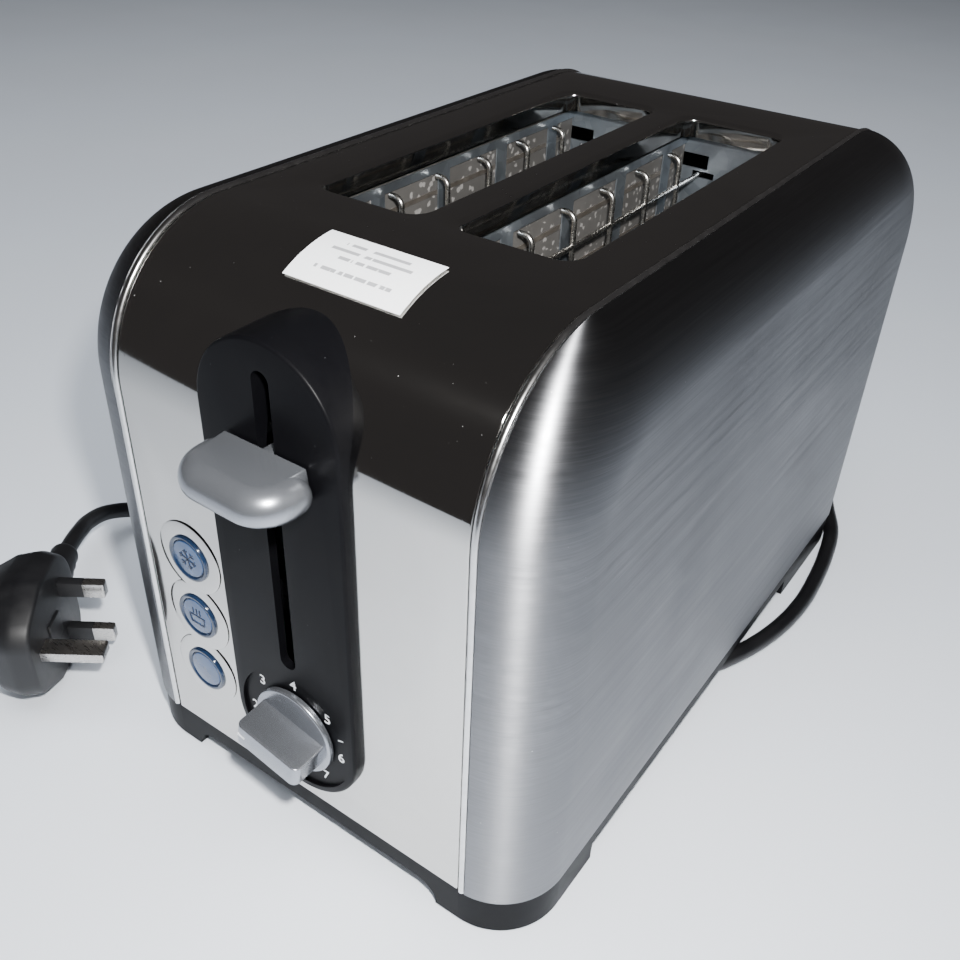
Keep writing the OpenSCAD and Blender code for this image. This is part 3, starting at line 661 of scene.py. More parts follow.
def label_paper():
    """White paper label with rows of plain grey dashes in place of wording."""
    finish = Finish("Paper label", (0.86, 0.87, 0.88), 0.0, 0.55)
    tree = finish.tree
    axes = tree.nodes.new("ShaderNodeSeparateXYZ")
    tree.links.new(finish.coords, axes.inputs["Vector"])
    low, high = node_box("top_label")
    centre_x = (low.x + high.x) / 2
    width = high.x - low.x
    across = math_node(tree, "MULTIPLY", math_node(tree, "SUBTRACT", axes.outputs["X"], centre_x), 1 / width)
    from_front = math_node(tree, "SUBTRACT", axes.outputs["Y"], low.y)
    depth = math_node(tree, "MULTIPLY", from_front, 1 / (high.y - low.y))
    total = None
    rows = [(0.80, 0.27), (0.65, 0.34), (0.50, 0.22), (0.26, 0.33)]
    for place, half in rows:
        off = math_node(tree, "ABSOLUTE", math_node(tree, "SUBTRACT", depth, place))
        line = math_node(tree, "LESS_THAN", off, 0.030)
        inside = math_node(tree, "LESS_THAN", math_node(tree, "ABSOLUTE", across), half)
        row = math_node(tree, "MULTIPLY", line, inside)
        total = row if total is None else math_node(tree, "MAXIMUM", total, row)
    words = finish.noise(1.0, 1.0, 0.5, (620.0, 60.0, 60.0))
    gaps = ramp(tree, words, 0.42, 0.46)
    total = math_node(tree, "MULTIPLY", total, gaps)
    total = math_node(tree, "MULTIPLY", total, 0.75)
    fibre = finish.noise(900.0, 3.0)
    paper = finish.mix(fibre, (0.82, 0.83, 0.85), (0.90, 0.91, 0.92))
    finish.link(finish.mix(total, paper, (0.10, 0.10, 0.11)), "Base Color")
    finish.bump(fibre, 0.1, 0.00005)
    return finish.material


def floor_finish():
    """Pale painted table top with faint smears."""
    base = tuple(colours().floor)
    finish = Finish("Pale floor", base, 0.0, 0.5)
    cloud = finish.noise(2.2, 3.0, 0.5)
    finish.link(finish.mix(cloud, tint(base, 0.95), tint(base, 1.03)), "Base Color")
    finish.link(finish.span(finish.noise(14.0, 4.0), 0.42, 0.60), "Roughness")
    return finish.material


# ---------------------------------------------------------------- stage

CAMERA_AT = Vector((166.8, -279.4, 296.5)) * MM
CAMERA_YAW = 0.595
CAMERA_PITCH = -0.610
CAMERA_ROLL = 0.041
CAMERA_LENS = 38.62


def camera_axes():
    """Right, up and back directions of the camera."""
    yaw, pitch, roll = CAMERA_YAW, CAMERA_PITCH, CAMERA_ROLL
    ahead = Vector((-math.sin(yaw) * math.cos(pitch), math.cos(yaw) * math.cos(pitch), math.sin(pitch)))
    right = Vector((math.cos(yaw), math.sin(yaw), 0.0))
    up = right.cross(ahead)
    turned_right = math.cos(roll) * right + math.sin(roll) * up
    turned_up = math.cos(roll) * up - math.sin(roll) * right
    return turned_right, turned_up, -ahead


class TOASTER_OT_stage(bpy.types.Operator):
    """Adds the camera, the pale floor, the lights and the dark room above"""
    bl_idname = "toaster.stage"
    bl_label = "Studio stage"

    def execute(self, context):
        self.add_camera(context)
        self.add_floor()
        self.add_lights()
        self.set_world(context)
        return {"FINISHED"}

    def add_camera(self, context):
        right, up, back = camera_axes()
        bpy.ops.object.camera_add(location=CAMERA_AT)
        camera = context.active_object
        camera.name = "Camera"
        turn = Matrix((right, up, back)).transposed()
        camera.rotation_euler = turn.to_euler()
        camera.data.sensor_width = 36.0
        camera.data.lens = CAMERA_LENS
        camera.data.clip_start = 0.01
        context.scene.camera = camera

    def add_floor(self):
        bpy.ops.mesh.primitive_plane_add(size=1, location=(0, 0, 0))
        floor = bpy.context.active_object
        floor.name = "studio_floor"
        floor.scale = (3.2, 2.4, 1)
        floor.location = (0, 0.65, 0)
        bake_place(floor)
        floor.data.materials.append(floor_finish())

    def add_area(self, name, place, target, size, power, colour=(1, 1, 1)):
        direction = Vector(target) - Vector(place)
        bpy.ops.object.light_add(type="AREA", location=place,
                                 rotation=direction.to_track_quat("-Z", "Y").to_euler())
        light = bpy.context.active_object
        light.name = name
        light.data.shape = "DISK"
        light.data.size = size
        light.data.energy = power
        light.data.color = colour
        return light

    def add_lights(self):
        right, up, _ = camera_axes()
        key = CAMERA_AT + 0.045 * up + 0.02 * right
        self.add_area("key_light", key, (0, 0, 0.06), 0.02, 3.4, (1.0, 0.99, 0.97))
        soft = self.add_area("soft_top", (-0.1, -0.1, 1.5), (0, 0.05, 0), 1.6, 20.0, (0.90, 0.95, 1.0))
        side = self.add_area("soft_front", (0.5, -1.3, 1.0), (0, 0, 0.08), 1.0, 7.0, (0.92, 0.96, 1.0))
        for light in (soft, side):
            light.visible_glossy = False

    def set_world(self, context):
        world = bpy.data.worlds.new("Dark room")
        world.use_nodes = True
        tree = world.node_tree
        tree.nodes.clear()
        out = tree.nodes.new("ShaderNodeOutputWorld")
        seen = add_node(tree, "ShaderNodeBackground",
                        inputs={"Color": (0.42, 0.44, 0.48, 1), "Strength": 1.0})
        room = add_node(tree, "ShaderNodeBackground",
                        inputs={"Color": (0.045, 0.042, 0.042, 1), "Strength": 1.0})
        path = tree.nodes.new("ShaderNodeLightPath")
        mixer = tree.nodes.new("ShaderNodeMixShader")
        tree.links.new(path.outputs["Is Camera Ray"], mixer.inputs["Fac"])
        tree.links.new(room.outputs["Background"], mixer.inputs[1])
        tree.links.new(seen.outputs["Background"], mixer.inputs[2])
        tree.links.new(mixer.outputs["Shader"], out.inputs["Surface"])
        context.scene.world = world


# ---------------------------------------------------------------- cord and plug

# The route of the cord's middle, in millimetres from the body's own middle
CORD_ROUTE = [
    (-52, 149, 8.4), (-52, 158, 7.8), (-49, 173, 5), (-40, 190, 3.5), (-26, 202, 3.5),
    (-8, 209, 3.5), (12, 210, 3.5), (32, 204, 3.5), (49, 192, 3.5), (62, 176, 3.5),
    (71, 158, 3.5), (79, 141, 3.5), (87, 124, 3.5), (91, 106, 3.5), (93.4, 87, 3.5),
    (94.4, 66, 3.5), (92, 44, 3.5), (85.5, 22, 3.5), (74, 0, 3.5), (58, -16, 3.5),
    (36, -28, 3.5), (10, -36, 3.5), (-20, -42, 3.5), (-50, -46, 3.5), (-80, -48, 3.5),
    (-105, -49, 3.5), (-127, -49.5, 3.5), (-146.5, -51.2, 3.6), (-158.4, -54.6, 4.8),
    (-168, -61.7, 7.7), (-173.7, -71.8, 11.7), (-174.7, -83.5, 16.2), (-170, -94.7, 20.3),
    (-165, -101.8, 22.7), (-160, -108.9, 24.2), (-155.2, -115.8, 24.8),
]
CORD_DIAMETER = 0.0068

# Line and neutral pins: distance from the plug's middle and length of the sleeved root, in millimetres
PIN_OFFSET = 11.1
PIN_ROOT = 9.5


def body_shift():
    """How far the body's own middle lies from the frame's origin, along Y."""
    low, high = node_box("wrap_band")
    return (low.y + high.y) / 2


def spline_points(points, steps):
    """Points on a smooth curve through a list of points."""
    result = []
    last = len(points) - 1
    for index in range(last):
        a = points[max(index - 1, 0)]
        b, c = points[index], points[index + 1]
        d = points[min(index + 2, last)]
        for step in range(steps):
            t = step / steps
            result.append(0.5 * (2 * b + t * (c - a) + t * t * (2 * a - 5 * b + 4 * c - d)
                                 + t * t * t * (3 * b - a - 3 * c + d)))
    result.append(points[-1])
    return result


def plug_frame():
    """Matrix from the plug's own axes, pins along X and cord along Y, to the frame."""
    mount = next(m for m in RECORD["mounts"] if m["name"] == "mains_plug_pins")
    pins = Vector(mount["axis"]).normalized()
    up = Vector((0, 0, 1))
    cord = up.cross(pins)
    turn = Matrix((pins, cord, up)).transposed().to_4x4()
    return Matrix.Translation(Vector(mount["pos_m"])) @ turn


class TOASTER_OT_cord(bpy.types.Operator):
    """Makes the mains cord, its sleeve, the plug, its bend relief, pins and fuse cover"""
    bl_idname = "toaster.cord"
    bl_label = "Cord and plug"

    def execute(self, context):
        black = rubber_finish("Cord jacket", (0.005, 0.005, 0.006), 0.38)
        moulded = rubber_finish("Plug moulding", (0.005, 0.005, 0.006), 0.42)
        pose = plug_frame()
        sleeve = self.make_sleeve(black)
        plug = self.make_plug(moulded, pose)
        boot = self.make_boot(moulded, pose)
        pins = self.make_pins(pose)
        roots = self.make_pin_roots(moulded, pose)
        cover = self.make_fuse_cover(moulded, pose)
        self.make_cord(black, [sleeve, plug, boot, pins, roots, cover])
        return {"FINISHED"}

    def make_cord(self, finish, pieces):
        shift = Vector((0, body_shift(), 0))
        route = [Vector(point) * MM + shift for point in CORD_ROUTE]
        points = spline_points(route, 5)
        curve = bpy.data.curves.new("mains_cord_jacket", "CURVE")
        curve.dimensions = "3D"
        curve.bevel_depth = CORD_DIAMETER / 2
        curve.bevel_resolution = 6
        curve.use_fill_caps = True
        spline = curve.splines.new("POLY")
        spline.points.add(len(points) - 1)
        for target, point in zip(spline.points, points):
            target.co = (*point, 1.0)
        spline.use_smooth = True
        cord = bpy.data.objects.new("mains_cord_jacket", curve)
        bpy.context.collection.objects.link(cord)
        settle(cord, HOUSING, finish, ("mains_cord",))

    def make_sleeve(self, finish):
        low, high = node_box("cord_sleeve")
        x, z = (low.x + high.x) / 2, (low.z + high.z) / 2
        radius = (high.z - low.z) / 2
        sleeve = drum("cord_outlet_sleeve", radius - 1 * MM, (x, low.y, z), (x, high.y, z), 40)
        select_only(sleeve)
        bpy.ops.object.mode_set(mode="EDIT")
        rear = body_shift() + 139.5 * MM
        ring_count = 5
        pitch = (high.y - rear) / ring_count
        for index in range(ring_count * 2 + 1):
            bpy.ops.mesh.select_all(action="SELECT")
            bpy.ops.mesh.bisect(plane_co=(x, rear + index * pitch / 2, z), plane_no=(0, 1, 0))
        pick(sleeve, "VERT", lambda v: v.co.y > rear - 1e-5 and v.co.y < high.y - 1e-5
             and round((v.co.y - rear) / (pitch / 2)) % 2 == 0)
        bpy.ops.transform.resize(value=(1.22, 1, 1.22), center_override=(x, 0, z))
        bpy.ops.object.mode_set(mode="OBJECT")
        bevel_edges(sleeve, lambda e: middle(e).y > high.y - 1e-5 and len(e.link_faces) == 2
                    and abs(along(e).y) < 0.1, 0.4 * MM, 2)
        smooth(sleeve, 30)
        return settle(sleeve, HOUSING, finish, ("cord_sleeve",))

    def make_plug(self, finish, pose):
        width = 49.6 * MM
        plug = block("plug_moulding", (-24 * MM, -34 * MM, -width / 2), (0, 14 * MM, width / 2))
        select_only(plug)
        bpy.ops.object.mode_set(mode="EDIT")
        for place in (-7, -14):
            bpy.ops.mesh.select_all(action="SELECT")
            bpy.ops.mesh.bisect(plane_co=(place * MM, 0, 0), plane_no=(1, 0, 0))
        for place in (-14, 4):
            bpy.ops.mesh.select_all(action="SELECT")
            bpy.ops.mesh.bisect(plane_co=(0, place * MM, 0), plane_no=(0, 1, 0))
        pick(plug, "VERT", lambda v: v.co.y < -33 * MM)
        bpy.ops.transform.resize(value=(1, 1, 0.58), center_override=(0, 0, 0))
        pick(plug, "VERT", lambda v: v.co.y > 13 * MM)
        bpy.ops.transform.resize(value=(1, 1, 0.72), center_override=(0, 0, 0))
        pick(plug, "VERT", lambda v: v.co.x > -1 * MM)
        bpy.ops.transform.resize(value=(1, 0.94, 0.94), center_override=(0, -10 * MM, 0))
        pick(plug, "VERT", lambda v: v.co.x < -23 * MM)
        bpy.ops.transform.resize(value=(1, 0.66, 0.74), center_override=(0, -8 * MM, 0))
        pick(plug, "VERT", lambda v: abs(v.co.x + 14 * MM) < 0.1 * MM)
        bpy.ops.transform.resize(value=(1, 0.93, 0.95), center_override=(0, -9 * MM, 0))
        bpy.ops.object.mode_set(mode="OBJECT")
        bevel_edges(plug, lambda e: abs(along(e).x) > 0.35 and e.calc_face_angle(0) > 0.75, 6.5 * MM, 8)
        bevel_edges(plug, lambda e: abs(along(e).x) < 0.1 and len(e.link_faces) == 2
                    and e.calc_face_angle(0) > math.radians(20), 1.4 * MM, 3)
        smooth(plug, 42)
        plug.data.transform(pose)
        return settle(plug, HOUSING, finish, ("plug_body",))

    def make_boot(self, finish, pose):
        start, end = 13.0 * MM, 34.2 * MM
        x = -11 * MM
        boot = drum("plug_bend_relief", 8.2 * MM, (x, start, 0), (x, end, 0), 40)
        select_only(boot)
        bpy.ops.object.mode_set(mode="EDIT")
        steps = 9
        for index in range(1, steps):
            bpy.ops.mesh.select_all(action="SELECT")
            bpy.ops.mesh.bisect(plane_co=(x, start + (end - start) * index / steps, 0), plane_no=(0, 1, 0))
        for index in range(steps + 1):
            place = start + (end - start) * index / steps
            scale = 1.0 - 0.36 * index / steps - (0.05 if index % 2 else 0.0)
            pick(boot, "VERT", lambda v: abs(v.co.y - place) < 0.2 * MM)
            bpy.ops.transform.resize(value=(scale, 1, scale), center_override=(x, place, 0))
        bpy.ops.object.mode_set(mode="OBJECT")
        bevel_edges(boot, lambda e: middle(e).y > end - 0.1 * MM and abs(along(e).y) < 0.1, 0.8 * MM, 3)
        smooth(boot, 30)
        boot.data.transform(pose)
        return settle(boot, HOUSING, finish, ("plug_boot",))

    def make_pins(self, pose):
        finish = Finish("Plated pins", (0.62, 0.60, 0.57), 1.0, 0.25)
        scratch = finish.noise(240.0, 3.0, 0.7, (1.0, 6.0, 6.0))
        finish.link(finish.mix(scratch, (0.46, 0.44, 0.42), (0.74, 0.72, 0.69)), "Base Color")
        finish.link(finish.span(scratch, 0.18, 0.40), "Roughness")
        pieces = []
        shapes = [((0, -26.2, -2), (22.7, -18.2, 2))]
        for side in (-1, 1):
            shapes.append(((PIN_ROOT, -2, side * PIN_OFFSET - 3.2), (17.7, 2, side * PIN_OFFSET + 3.2)))
        for index, (low, high) in enumerate(shapes):
            pin = block(f"pin_{index}", Vector(low) * MM, Vector(high) * MM)
            tip = high[0] * MM
            bevel_edges(pin, lambda e: middle(e).x > tip - 0.01 * MM, 1.1 * MM, 4)
            bevel_edges(pin, lambda e: abs(along(e).x) > 0.9 and len(e.link_faces) == 2
                        and e.calc_face_angle(0) > 1.0, 0.25 * MM, 2)
            pieces.append(pin)
        pins = join(pieces, "plug_contact_pins")
        smooth(pins, 35)
        pins.data.transform(pose)
        return settle(pins, HOUSING, finish.material, ("plug_pins",))

    def make_pin_roots(self, finish, pose):
        pieces = []
        for side in (-1, 1):
            root = block("root", Vector((0, -2.05, side * PIN_OFFSET - 3.25)) * MM,
                         Vector((PIN_ROOT, 2.05, side * PIN_OFFSET + 3.25)) * MM)
            bevel_edges(root, lambda e: middle(e).x > 9.4 * MM or abs(along(e).x) > 0.9, 0.3 * MM, 2)
            pieces.append(root)
        roots = join(pieces, "pin_root_sleeves")
        smooth(roots, 35)
        roots.data.transform(pose)
        return settle(roots, HOUSING, finish, ("pin_sleeves",))

    def make_fuse_cover(self, finish, pose):
        cover = block("fuse_cover", Vector((-0.4, -16, -5)) * MM, Vector((0.8, -6, 5)) * MM)
        bevel_edges(cover, lambda e: middle(e).x > 0.7 * MM or abs(along(e).x) > 0.9, 0.35 * MM, 3)
        smooth(cover, 35)
        cover.data.transform(pose)
        return settle(cover, HOUSING, finish, ("fuse_carrier",))


# ---------------------------------------------------------------- steel body

def rounded_body(name, low, high, radius, steps):
    """Block whose front and rear top edges are rounded."""
    body = block(name, low, high)
    bevel_edges(body, lambda e: abs(along(e).x) > 0.9 and middle(e).z > high[2] - 1e-5, radius, steps)
    return body


class TOASTER_OT_band(bpy.types.Operator):
    """Makes the polished centre panel with its turned down bread slots and button holes"""
    bl_idname = "toaster.band"
    bl_label = "Centre panel"

    def execute(self, context):
        size = sizes()
        low, high = node_box("wrap_band")
        step = size.band_step
        side = high.x - 0.1 * MM
        top = high.z - step
        body = rounded_body(
            "centre_panel", (-side, low.y + step, low.z), (side, high.y - step, top),
            size.corner_radius - step, size.arc_steps)
        bevel_edges(body, lambda e: abs(abs(middle(e).x) - side) < 1e-5
                    and middle(e).z > low.z + 1e-5, 0.6 * MM, 4)
        self.cut_slots(body, top)
        self.cut_controls(body, low.y + step)
        delete_faces(body, lambda f: (f.normal.z < -0.99 and f.calc_center_median().z < low.z + 1e-4)
                     or (abs(f.normal.x) > 0.99 and abs(abs(f.calc_center_median().x) - side) < 1e-4))
        modify(body, "SOLIDIFY", thickness=size.sheet, offset=-1.0, use_even_offset=True)
        smooth(body, 30)
        settle(body, HOUSING, polished_steel(), ("wrap_band", "slot_rims"))
        return {"FINISHED"}

    def cut_slots(self, body, top):
        size = sizes()
        rim_low, rim_high = node_box("slot_rims")
        wall = size.sheet
        inner = 12.3 / 2 * MM
        depth = top - rim_low.z
        for side in (-1, 1):
            xs = sorted((side * inner, side * (rim_high.x - wall)))
            cutter = block("slot_cutter", (xs[0], rim_low.y + wall, rim_low.z),
                           (xs[1], rim_high.y - wall, top + 10 * MM))
            bevel_edges(cutter, lambda e: abs(along(e).z) > 0.9, size.slot_corner, 8)
            cut(body, cutter)
        bevel_edges(body, lambda e: middle(e).z > top - 1e-6 and abs(middle(e).x) < rim_high.x + 1 * MM
                    and abs(middle(e).y - body_shift()) < rim_high.y and len(e.link_faces) == 2
                    and e.calc_face_angle(0) > 1.0, size.slot_lip, 5)
        delete_faces(body, lambda f: f.normal.z > 0.99 and f.calc_center_median().z < top - depth + 1e-4
                     and f.calc_center_median().z > top - depth - 1e-4)

    def cut_controls(self, body, front):
        for node in ("defrost_button", "reheat_button", "cancel_button"):
            low, high = node_box(node)
            x, z = (low.x + high.x) / 2, (low.z + high.z) / 2
            radius = (high.x - low.x) / 2 + 0.35 * MM
            cutter = drum("button_cutter", radius, (x, front - 5 * MM, z), (x, front + 1.6 * MM, z), 64)
            cut(body, cutter)
            from_middle = lambda e: math.hypot(middle(e).x - x, middle(e).z - z)
            bevel_edges(body, lambda e: abs(middle(e).y - front) < 1e-6
                        and abs(from_middle(e) - radius) < 0.2 * MM, 0.7 * MM, 4)
        half, start, shallow, deep = 4.4 * MM, front - 5 * MM, 1.6 * MM, 12 * MM
        for low_z, high_z, depth in ((72, 150, shallow), (148, 174, deep)):
            cut(body, block("lever_cutter", (-half, start, low_z * MM), (half, front + depth, high_z * MM)))
        inward = lambda f: f.calc_center_median().y - front
        delete_faces(body, lambda f: f.normal.y < -0.9 and 1.0 * MM < inward(f) < 13 * MM
                     and abs(f.calc_center_median().x) < 60 * MM
                     and (abs(inward(f) - shallow) < 1e-5 or abs(inward(f) - deep) < 1e-5))


class TOASTER_OT_shells(bpy.types.Operator):
    """Makes the two brushed side shells with their rolled edges, and the bead beside each seam, whose lighter
    colour is a painted highlight
    """
    bl_idname = "toaster.shells"
    bl_label = "Side shells"

    def execute(self, context):
        size = sizes()
        low, high = node_box("right_side_shell")
        edge = low.x + 2.15 * size.bead
        shell = rounded_body("side_shell_right", (low.x - 10 * MM, low.y, low.z), high,
                             size.corner_radius, size.arc_steps)
        bevel_edges(shell, lambda e: abs(middle(e).x - high.x) < 1e-5 and middle(e).z > low.z + 1e-5,
                    size.roll_radius, 28)
        delete_faces(shell, lambda f: f.normal.z < -0.99 or f.normal.x < -0.99)
        select_only(shell)
        bpy.ops.object.mode_set(mode="EDIT")
        bpy.ops.mesh.select_all(action="SELECT")
        bpy.ops.mesh.bisect(plane_co=(edge, 0, 0), plane_no=(1, 0, 0), clear_inner=True)
        bpy.ops.mesh.select_all(action="SELECT")
        bpy.ops.mesh.remove_doubles(threshold=1e-6)
        bpy.ops.object.mode_set(mode="OBJECT")
        modify(shell, "SOLIDIFY", thickness=size.sheet * 1.6, offset=-1.0, use_even_offset=True)
        modify(shell, "BEVEL", width=0.5 * MM, segments=3, limit_method="ANGLE", angle_limit=math.radians(60))
        smooth(shell, 30)
        finish = brushed_steel()
        left = duplicate(shell, "side_shell_left", Matrix.Scale(-1, 4, (1, 0, 0)))
        settle(shell, HOUSING, finish, ("right_side_shell",))
        settle(left, HOUSING, finish, ("left_side_shell",))
        bead = self.make_bead(low, high)
        other = duplicate(bead, "seam_bead_left", Matrix.Scale(-1, 4, (1, 0, 0)))
        # The seam beads get a steel colour lighter than the shells: a painted highlight along each seam.
        bead_highlight_paint = bead_painted_highlight_finish()
        settle(bead, HOUSING, bead_highlight_paint)
        settle(other, HOUSING, bead_highlight_paint)
        return {"FINISHED"}

    def make_bead(self, low, high):
        """A thin folded edge that runs over the body beside the seam."""
        size = sizes()
        radius = size.corner_radius
        inset = 0.75 * size.bead
        points = [Vector((0, low.y + inset, low.z + 0.2 * MM))]
        for step in range(size.arc_steps + 1):
            angle = math.pi / 2 * step / size.arc_steps
            points.append(Vector((0, low.y + radius - (radius - inset) * math.cos(angle),
                                  high.z - radius + (radius - inset) * math.sin(angle))))
        points += [Vector((0, low.y + high.y - p.y, p.z)) for p in reversed(points)]
        curve = bpy.data.curves.new("seam_bead_right", "CURVE")
        curve.dimensions = "3D"
        curve.bevel_depth = size.bead
        curve.bevel_resolution = 4
        curve.use_fill_caps = True
        spline = curve.splines.new("POLY")
        spline.points.add(len(points) - 1)
        for target, point in zip(spline.points, points):
            target.co = (low.x + size.bead, point.y, point.z, 1.0)
        bead = bpy.data.objects.new("seam_bead_right", curve)
        bpy.context.collection.objects.link(bead)
        select_only(bead)
        bpy.ops.object.convert(target="MESH")
        bead = bpy.context.active_object
        smooth(bead, 60)
        return bead


# ---------------------------------------------------------------- controls

def pill(name, x, radius, low, high, front, rear, steps=32):
    """Upright bar with round ends, from height low to high, between two planes along Y."""
    bar = block(name, (x - radius, front, low), (x + radius, rear, high))
    bevel_edges(bar, lambda e: abs(along(e).y) > 0.9, radius, steps)
    select_only(bar)
    bpy.ops.object.mode_set(mode="EDIT")
    bpy.ops.mesh.select_all(action="SELECT")
    bpy.ops.mesh.remove_doubles(threshold=1e-6)
    bpy.ops.object.mode_set(mode="OBJECT")
    return bar


class TOASTER_OT_strip(bpy.types.Operator):
    """Makes the black control strip with its lever slot, dial recess and numbers"""
    bl_idname = "toaster.strip"
    bl_label = "Control strip"

    def execute(self, context):
        size = sizes()
        low, high = node_box("control_strip")
        radius = (high.x - low.x) / 2
        rear = low.y + 32 * MM
        finish = moulded_plastic("Strip plastic", tuple(colours().strip), 0.34)
        strip = pill("control_strip_face", 0, radius, low.z, 157.6 * MM + radius, low.y, rear, 40)
        bevel_edges(strip, lambda e: abs(middle(e).y - low.y) < 1e-5
                    and e.calc_face_angle(0) > 1.0, 1.0 * MM, 5)
        slot = pill("slot_cutter", 0, 3 * MM, 73.6 * MM, 174 * MM, low.y - 5 * MM, rear + 5 * MM, 10)
        cut(strip, slot)
        dial_low, dial_high = node_box("dial_knob")
        dial_z = (dial_low.z + dial_high.z) / 2
        recess = drum("recess_cutter", 22.2 * MM, (0, low.y - 5 * MM, dial_z),
                      (0, low.y + 1.1 * MM, dial_z), 96)
        cut(strip, recess)
        shaft = drum("shaft_cutter", 4 * MM, (0, low.y - 5 * MM, dial_z), (0, rear, dial_z), 32)
        cut(strip, shaft)
        band_low, band_high = node_box("wrap_band")
        inside = rounded_body("body_cutter", (-60 * MM, band_low.y + size.band_step, -10 * MM),
                              (60 * MM, band_high.y, band_high.z - size.band_step),
                              size.corner_radius - size.band_step, 64)
        cut(strip, inside)
        smooth(strip, 32)
        settle(strip, HOUSING, finish, ("control_strip",))
        self.number_dial(low.y + 1.1 * MM, dial_z)
        return {"FINISHED"}

    def number_dial(self, face, dial_z):
        """Numbers 1 to 7 round the dial, and one small tick."""
        white = plain_ink("White ink", (0.80, 0.81, 0.83))
        ring = 18.3 * MM
        pieces = []
        for index in range(7):
            angle = math.radians(232.5 - 47.5 * index)
            x, z = ring * math.cos(angle), dial_z + ring * math.sin(angle)
            bpy.ops.object.select_all(action="DESELECT")
            bpy.ops.object.text_add(location=(x, face - 0.02 * MM, z), rotation=(math.pi / 2, 0, 0))
            digit = bpy.context.active_object
            digit.data.body = str(index + 1)
            digit.data.size = 5.4 * MM
            digit.data.align_x = "CENTER"
            digit.data.align_y = "CENTER"
            digit.data.extrude = 0.03 * MM
            digit.data.offset = 0.05 * MM
            bpy.ops.object.convert(target="MESH")
            digit = bpy.context.active_object
            bake_place(digit)
            pieces.append(digit)
        angle = math.radians(19)
        along_tick = Vector((math.cos(angle), 0, math.sin(angle)))
        centre = Vector((0, face, dial_z)) + along_tick * 20 * MM
        tick = block("tick", (-1.6 * MM, -0.04 * MM, -0.25 * MM), (1.6 * MM, 0.04 * MM, 0.25 * MM))
        tick.data.transform(Matrix.Translation(centre) @ Matrix.Rotation(-angle, 4, "Y"))
        pieces.append(tick)
        numbers = join(pieces, "dial_numbers")
        settle(numbers, HOUSING, white)


class TOASTER_OT_lever(bpy.types.Operator):
    """Makes the silver lever paddle and the end of its stem"""
    bl_idname = "toaster.lever"
    bl_label = "Lever"

    def execute(self, context):
        low, high = node_box("lever_knob")
        rear = high.y + 0.9 * MM
        front = rear - 19.2 * MM
        top, bottom = high.z + 0.4 * MM, low.z + 0.7 * MM
        half = (high.x - low.x) / 2 - 0.9 * MM
        paddle = block("lever_paddle", (-half, front, bottom), (half, rear, top))
        bevel_edges(paddle, lambda e: abs(along(e).z) > 0.9 and middle(e).y < front + 1 * MM, 11.6 * MM, 14)
        bevel_edges(paddle, lambda e: abs(along(e).z) > 0.9 and middle(e).y > rear - 1e-5
                    and e.calc_face_angle(0) > 1.0, 4.5 * MM, 8)
        outer = lambda e: middle(e).y < rear - 0.2 * MM and e.calc_face_angle(0) > 1.0
        bevel_edges(paddle, lambda e: middle(e).z > top - 1e-5 and outer(e), 6.0 * MM, 12)
        bevel_edges(paddle, lambda e: middle(e).z < bottom + 1e-5 and outer(e), 4.4 * MM, 8)
        select_only(paddle)
        modify(paddle, "BEVEL", width=0.35 * MM, segments=2, limit_method="ANGLE",
               angle_limit=math.radians(60))
        smooth(paddle, 40)
        stem = block("lever_stem_cover", (-2.2 * MM, rear - 1 * MM, top - 9.5 * MM),
                     (2.2 * MM, rear + 12 * MM, top - 1.2 * MM))
        bevel_edges(stem, lambda e: abs(along(e).y) > 0.9, 0.5 * MM, 3)
        smooth(stem, 35)
        silver = silver_paint()
        settle(paddle, "carriage", silver, ("lever_knob",))
        settle(stem, "carriage", silver)
        return {"FINISHED"}


class TOASTER_OT_dial(bpy.types.Operator):
    """Makes the silver dial knob with its scooped grip bar"""
    bl_idname = "toaster.dial"
    bl_label = "Dial"

    def execute(self, context):
        low, high = node_box("dial_knob")
        z = (low.z + high.z) / 2
        radius = (high.x - low.x) / 2
        disc_front = high.y - 1.9 * MM
        disc = drum("dial_disc", radius, (0, disc_front, 0), (0, high.y, 0), 96)
        bevel_edges(disc, lambda e: abs(middle(e).y - disc_front) < 1e-5, 0.8 * MM, 5)
        grip = drum("dial_grip", radius - 0.3 * MM, (0, low.y, 0), (0, disc_front + 1.7 * MM, 0), 96)
        sides = block("grip_sides", (-20 * MM, low.y - 1 * MM, -5.6 * MM), (20 * MM, high.y, 5.2 * MM))
        cut(grip, sides, "INTERSECT")
        ends = block("grip_ends", (-12.7 * MM, low.y + 1 * MM, -10 * MM), (12.7 * MM, high.y, 10 * MM))
        bevel_edges(ends, lambda e: abs(along(e).z) > 0.9 and middle(e).y < low.y + 2 * MM, 2.4 * MM, 6)
        cut(grip, ends, "INTERSECT")
        scoop_r = 60 * MM
        for side in (-1, 1):
            scoop = drum("scoop", scoop_r, (-20 * MM, low.y + 4 * MM, side * (scoop_r + 4.1 * MM)),
                         (20 * MM, low.y + 4 * MM, side * (scoop_r + 4.1 * MM)), 192)
            cut(grip, scoop)
        select_only(grip)
        modify(grip, "BEVEL", width=0.7 * MM, segments=3, limit_method="ANGLE", angle_limit=math.radians(40))
        knob = join([disc, grip], "dial_knob_cap")
        smooth(knob, 32)
        pose = Matrix.Translation((0, 0, z)) @ Matrix.Rotation(math.radians(11), 4, "Y")
        knob.data.transform(pose)
        settle(knob, "dial", silver_paint(), ("dial_knob",))
        mark = block("dial_mark", (-11.6 * MM, low.y + 0.94 * MM, -0.45 * MM),
                     (-8.6 * MM, low.y + 1.3 * MM, 0.45 * MM))
        mark.data.transform(pose)
        settle(mark, "dial", plain_ink("Pointer ink", (0.85, 0.86, 0.88)))
        return {"FINISHED"}


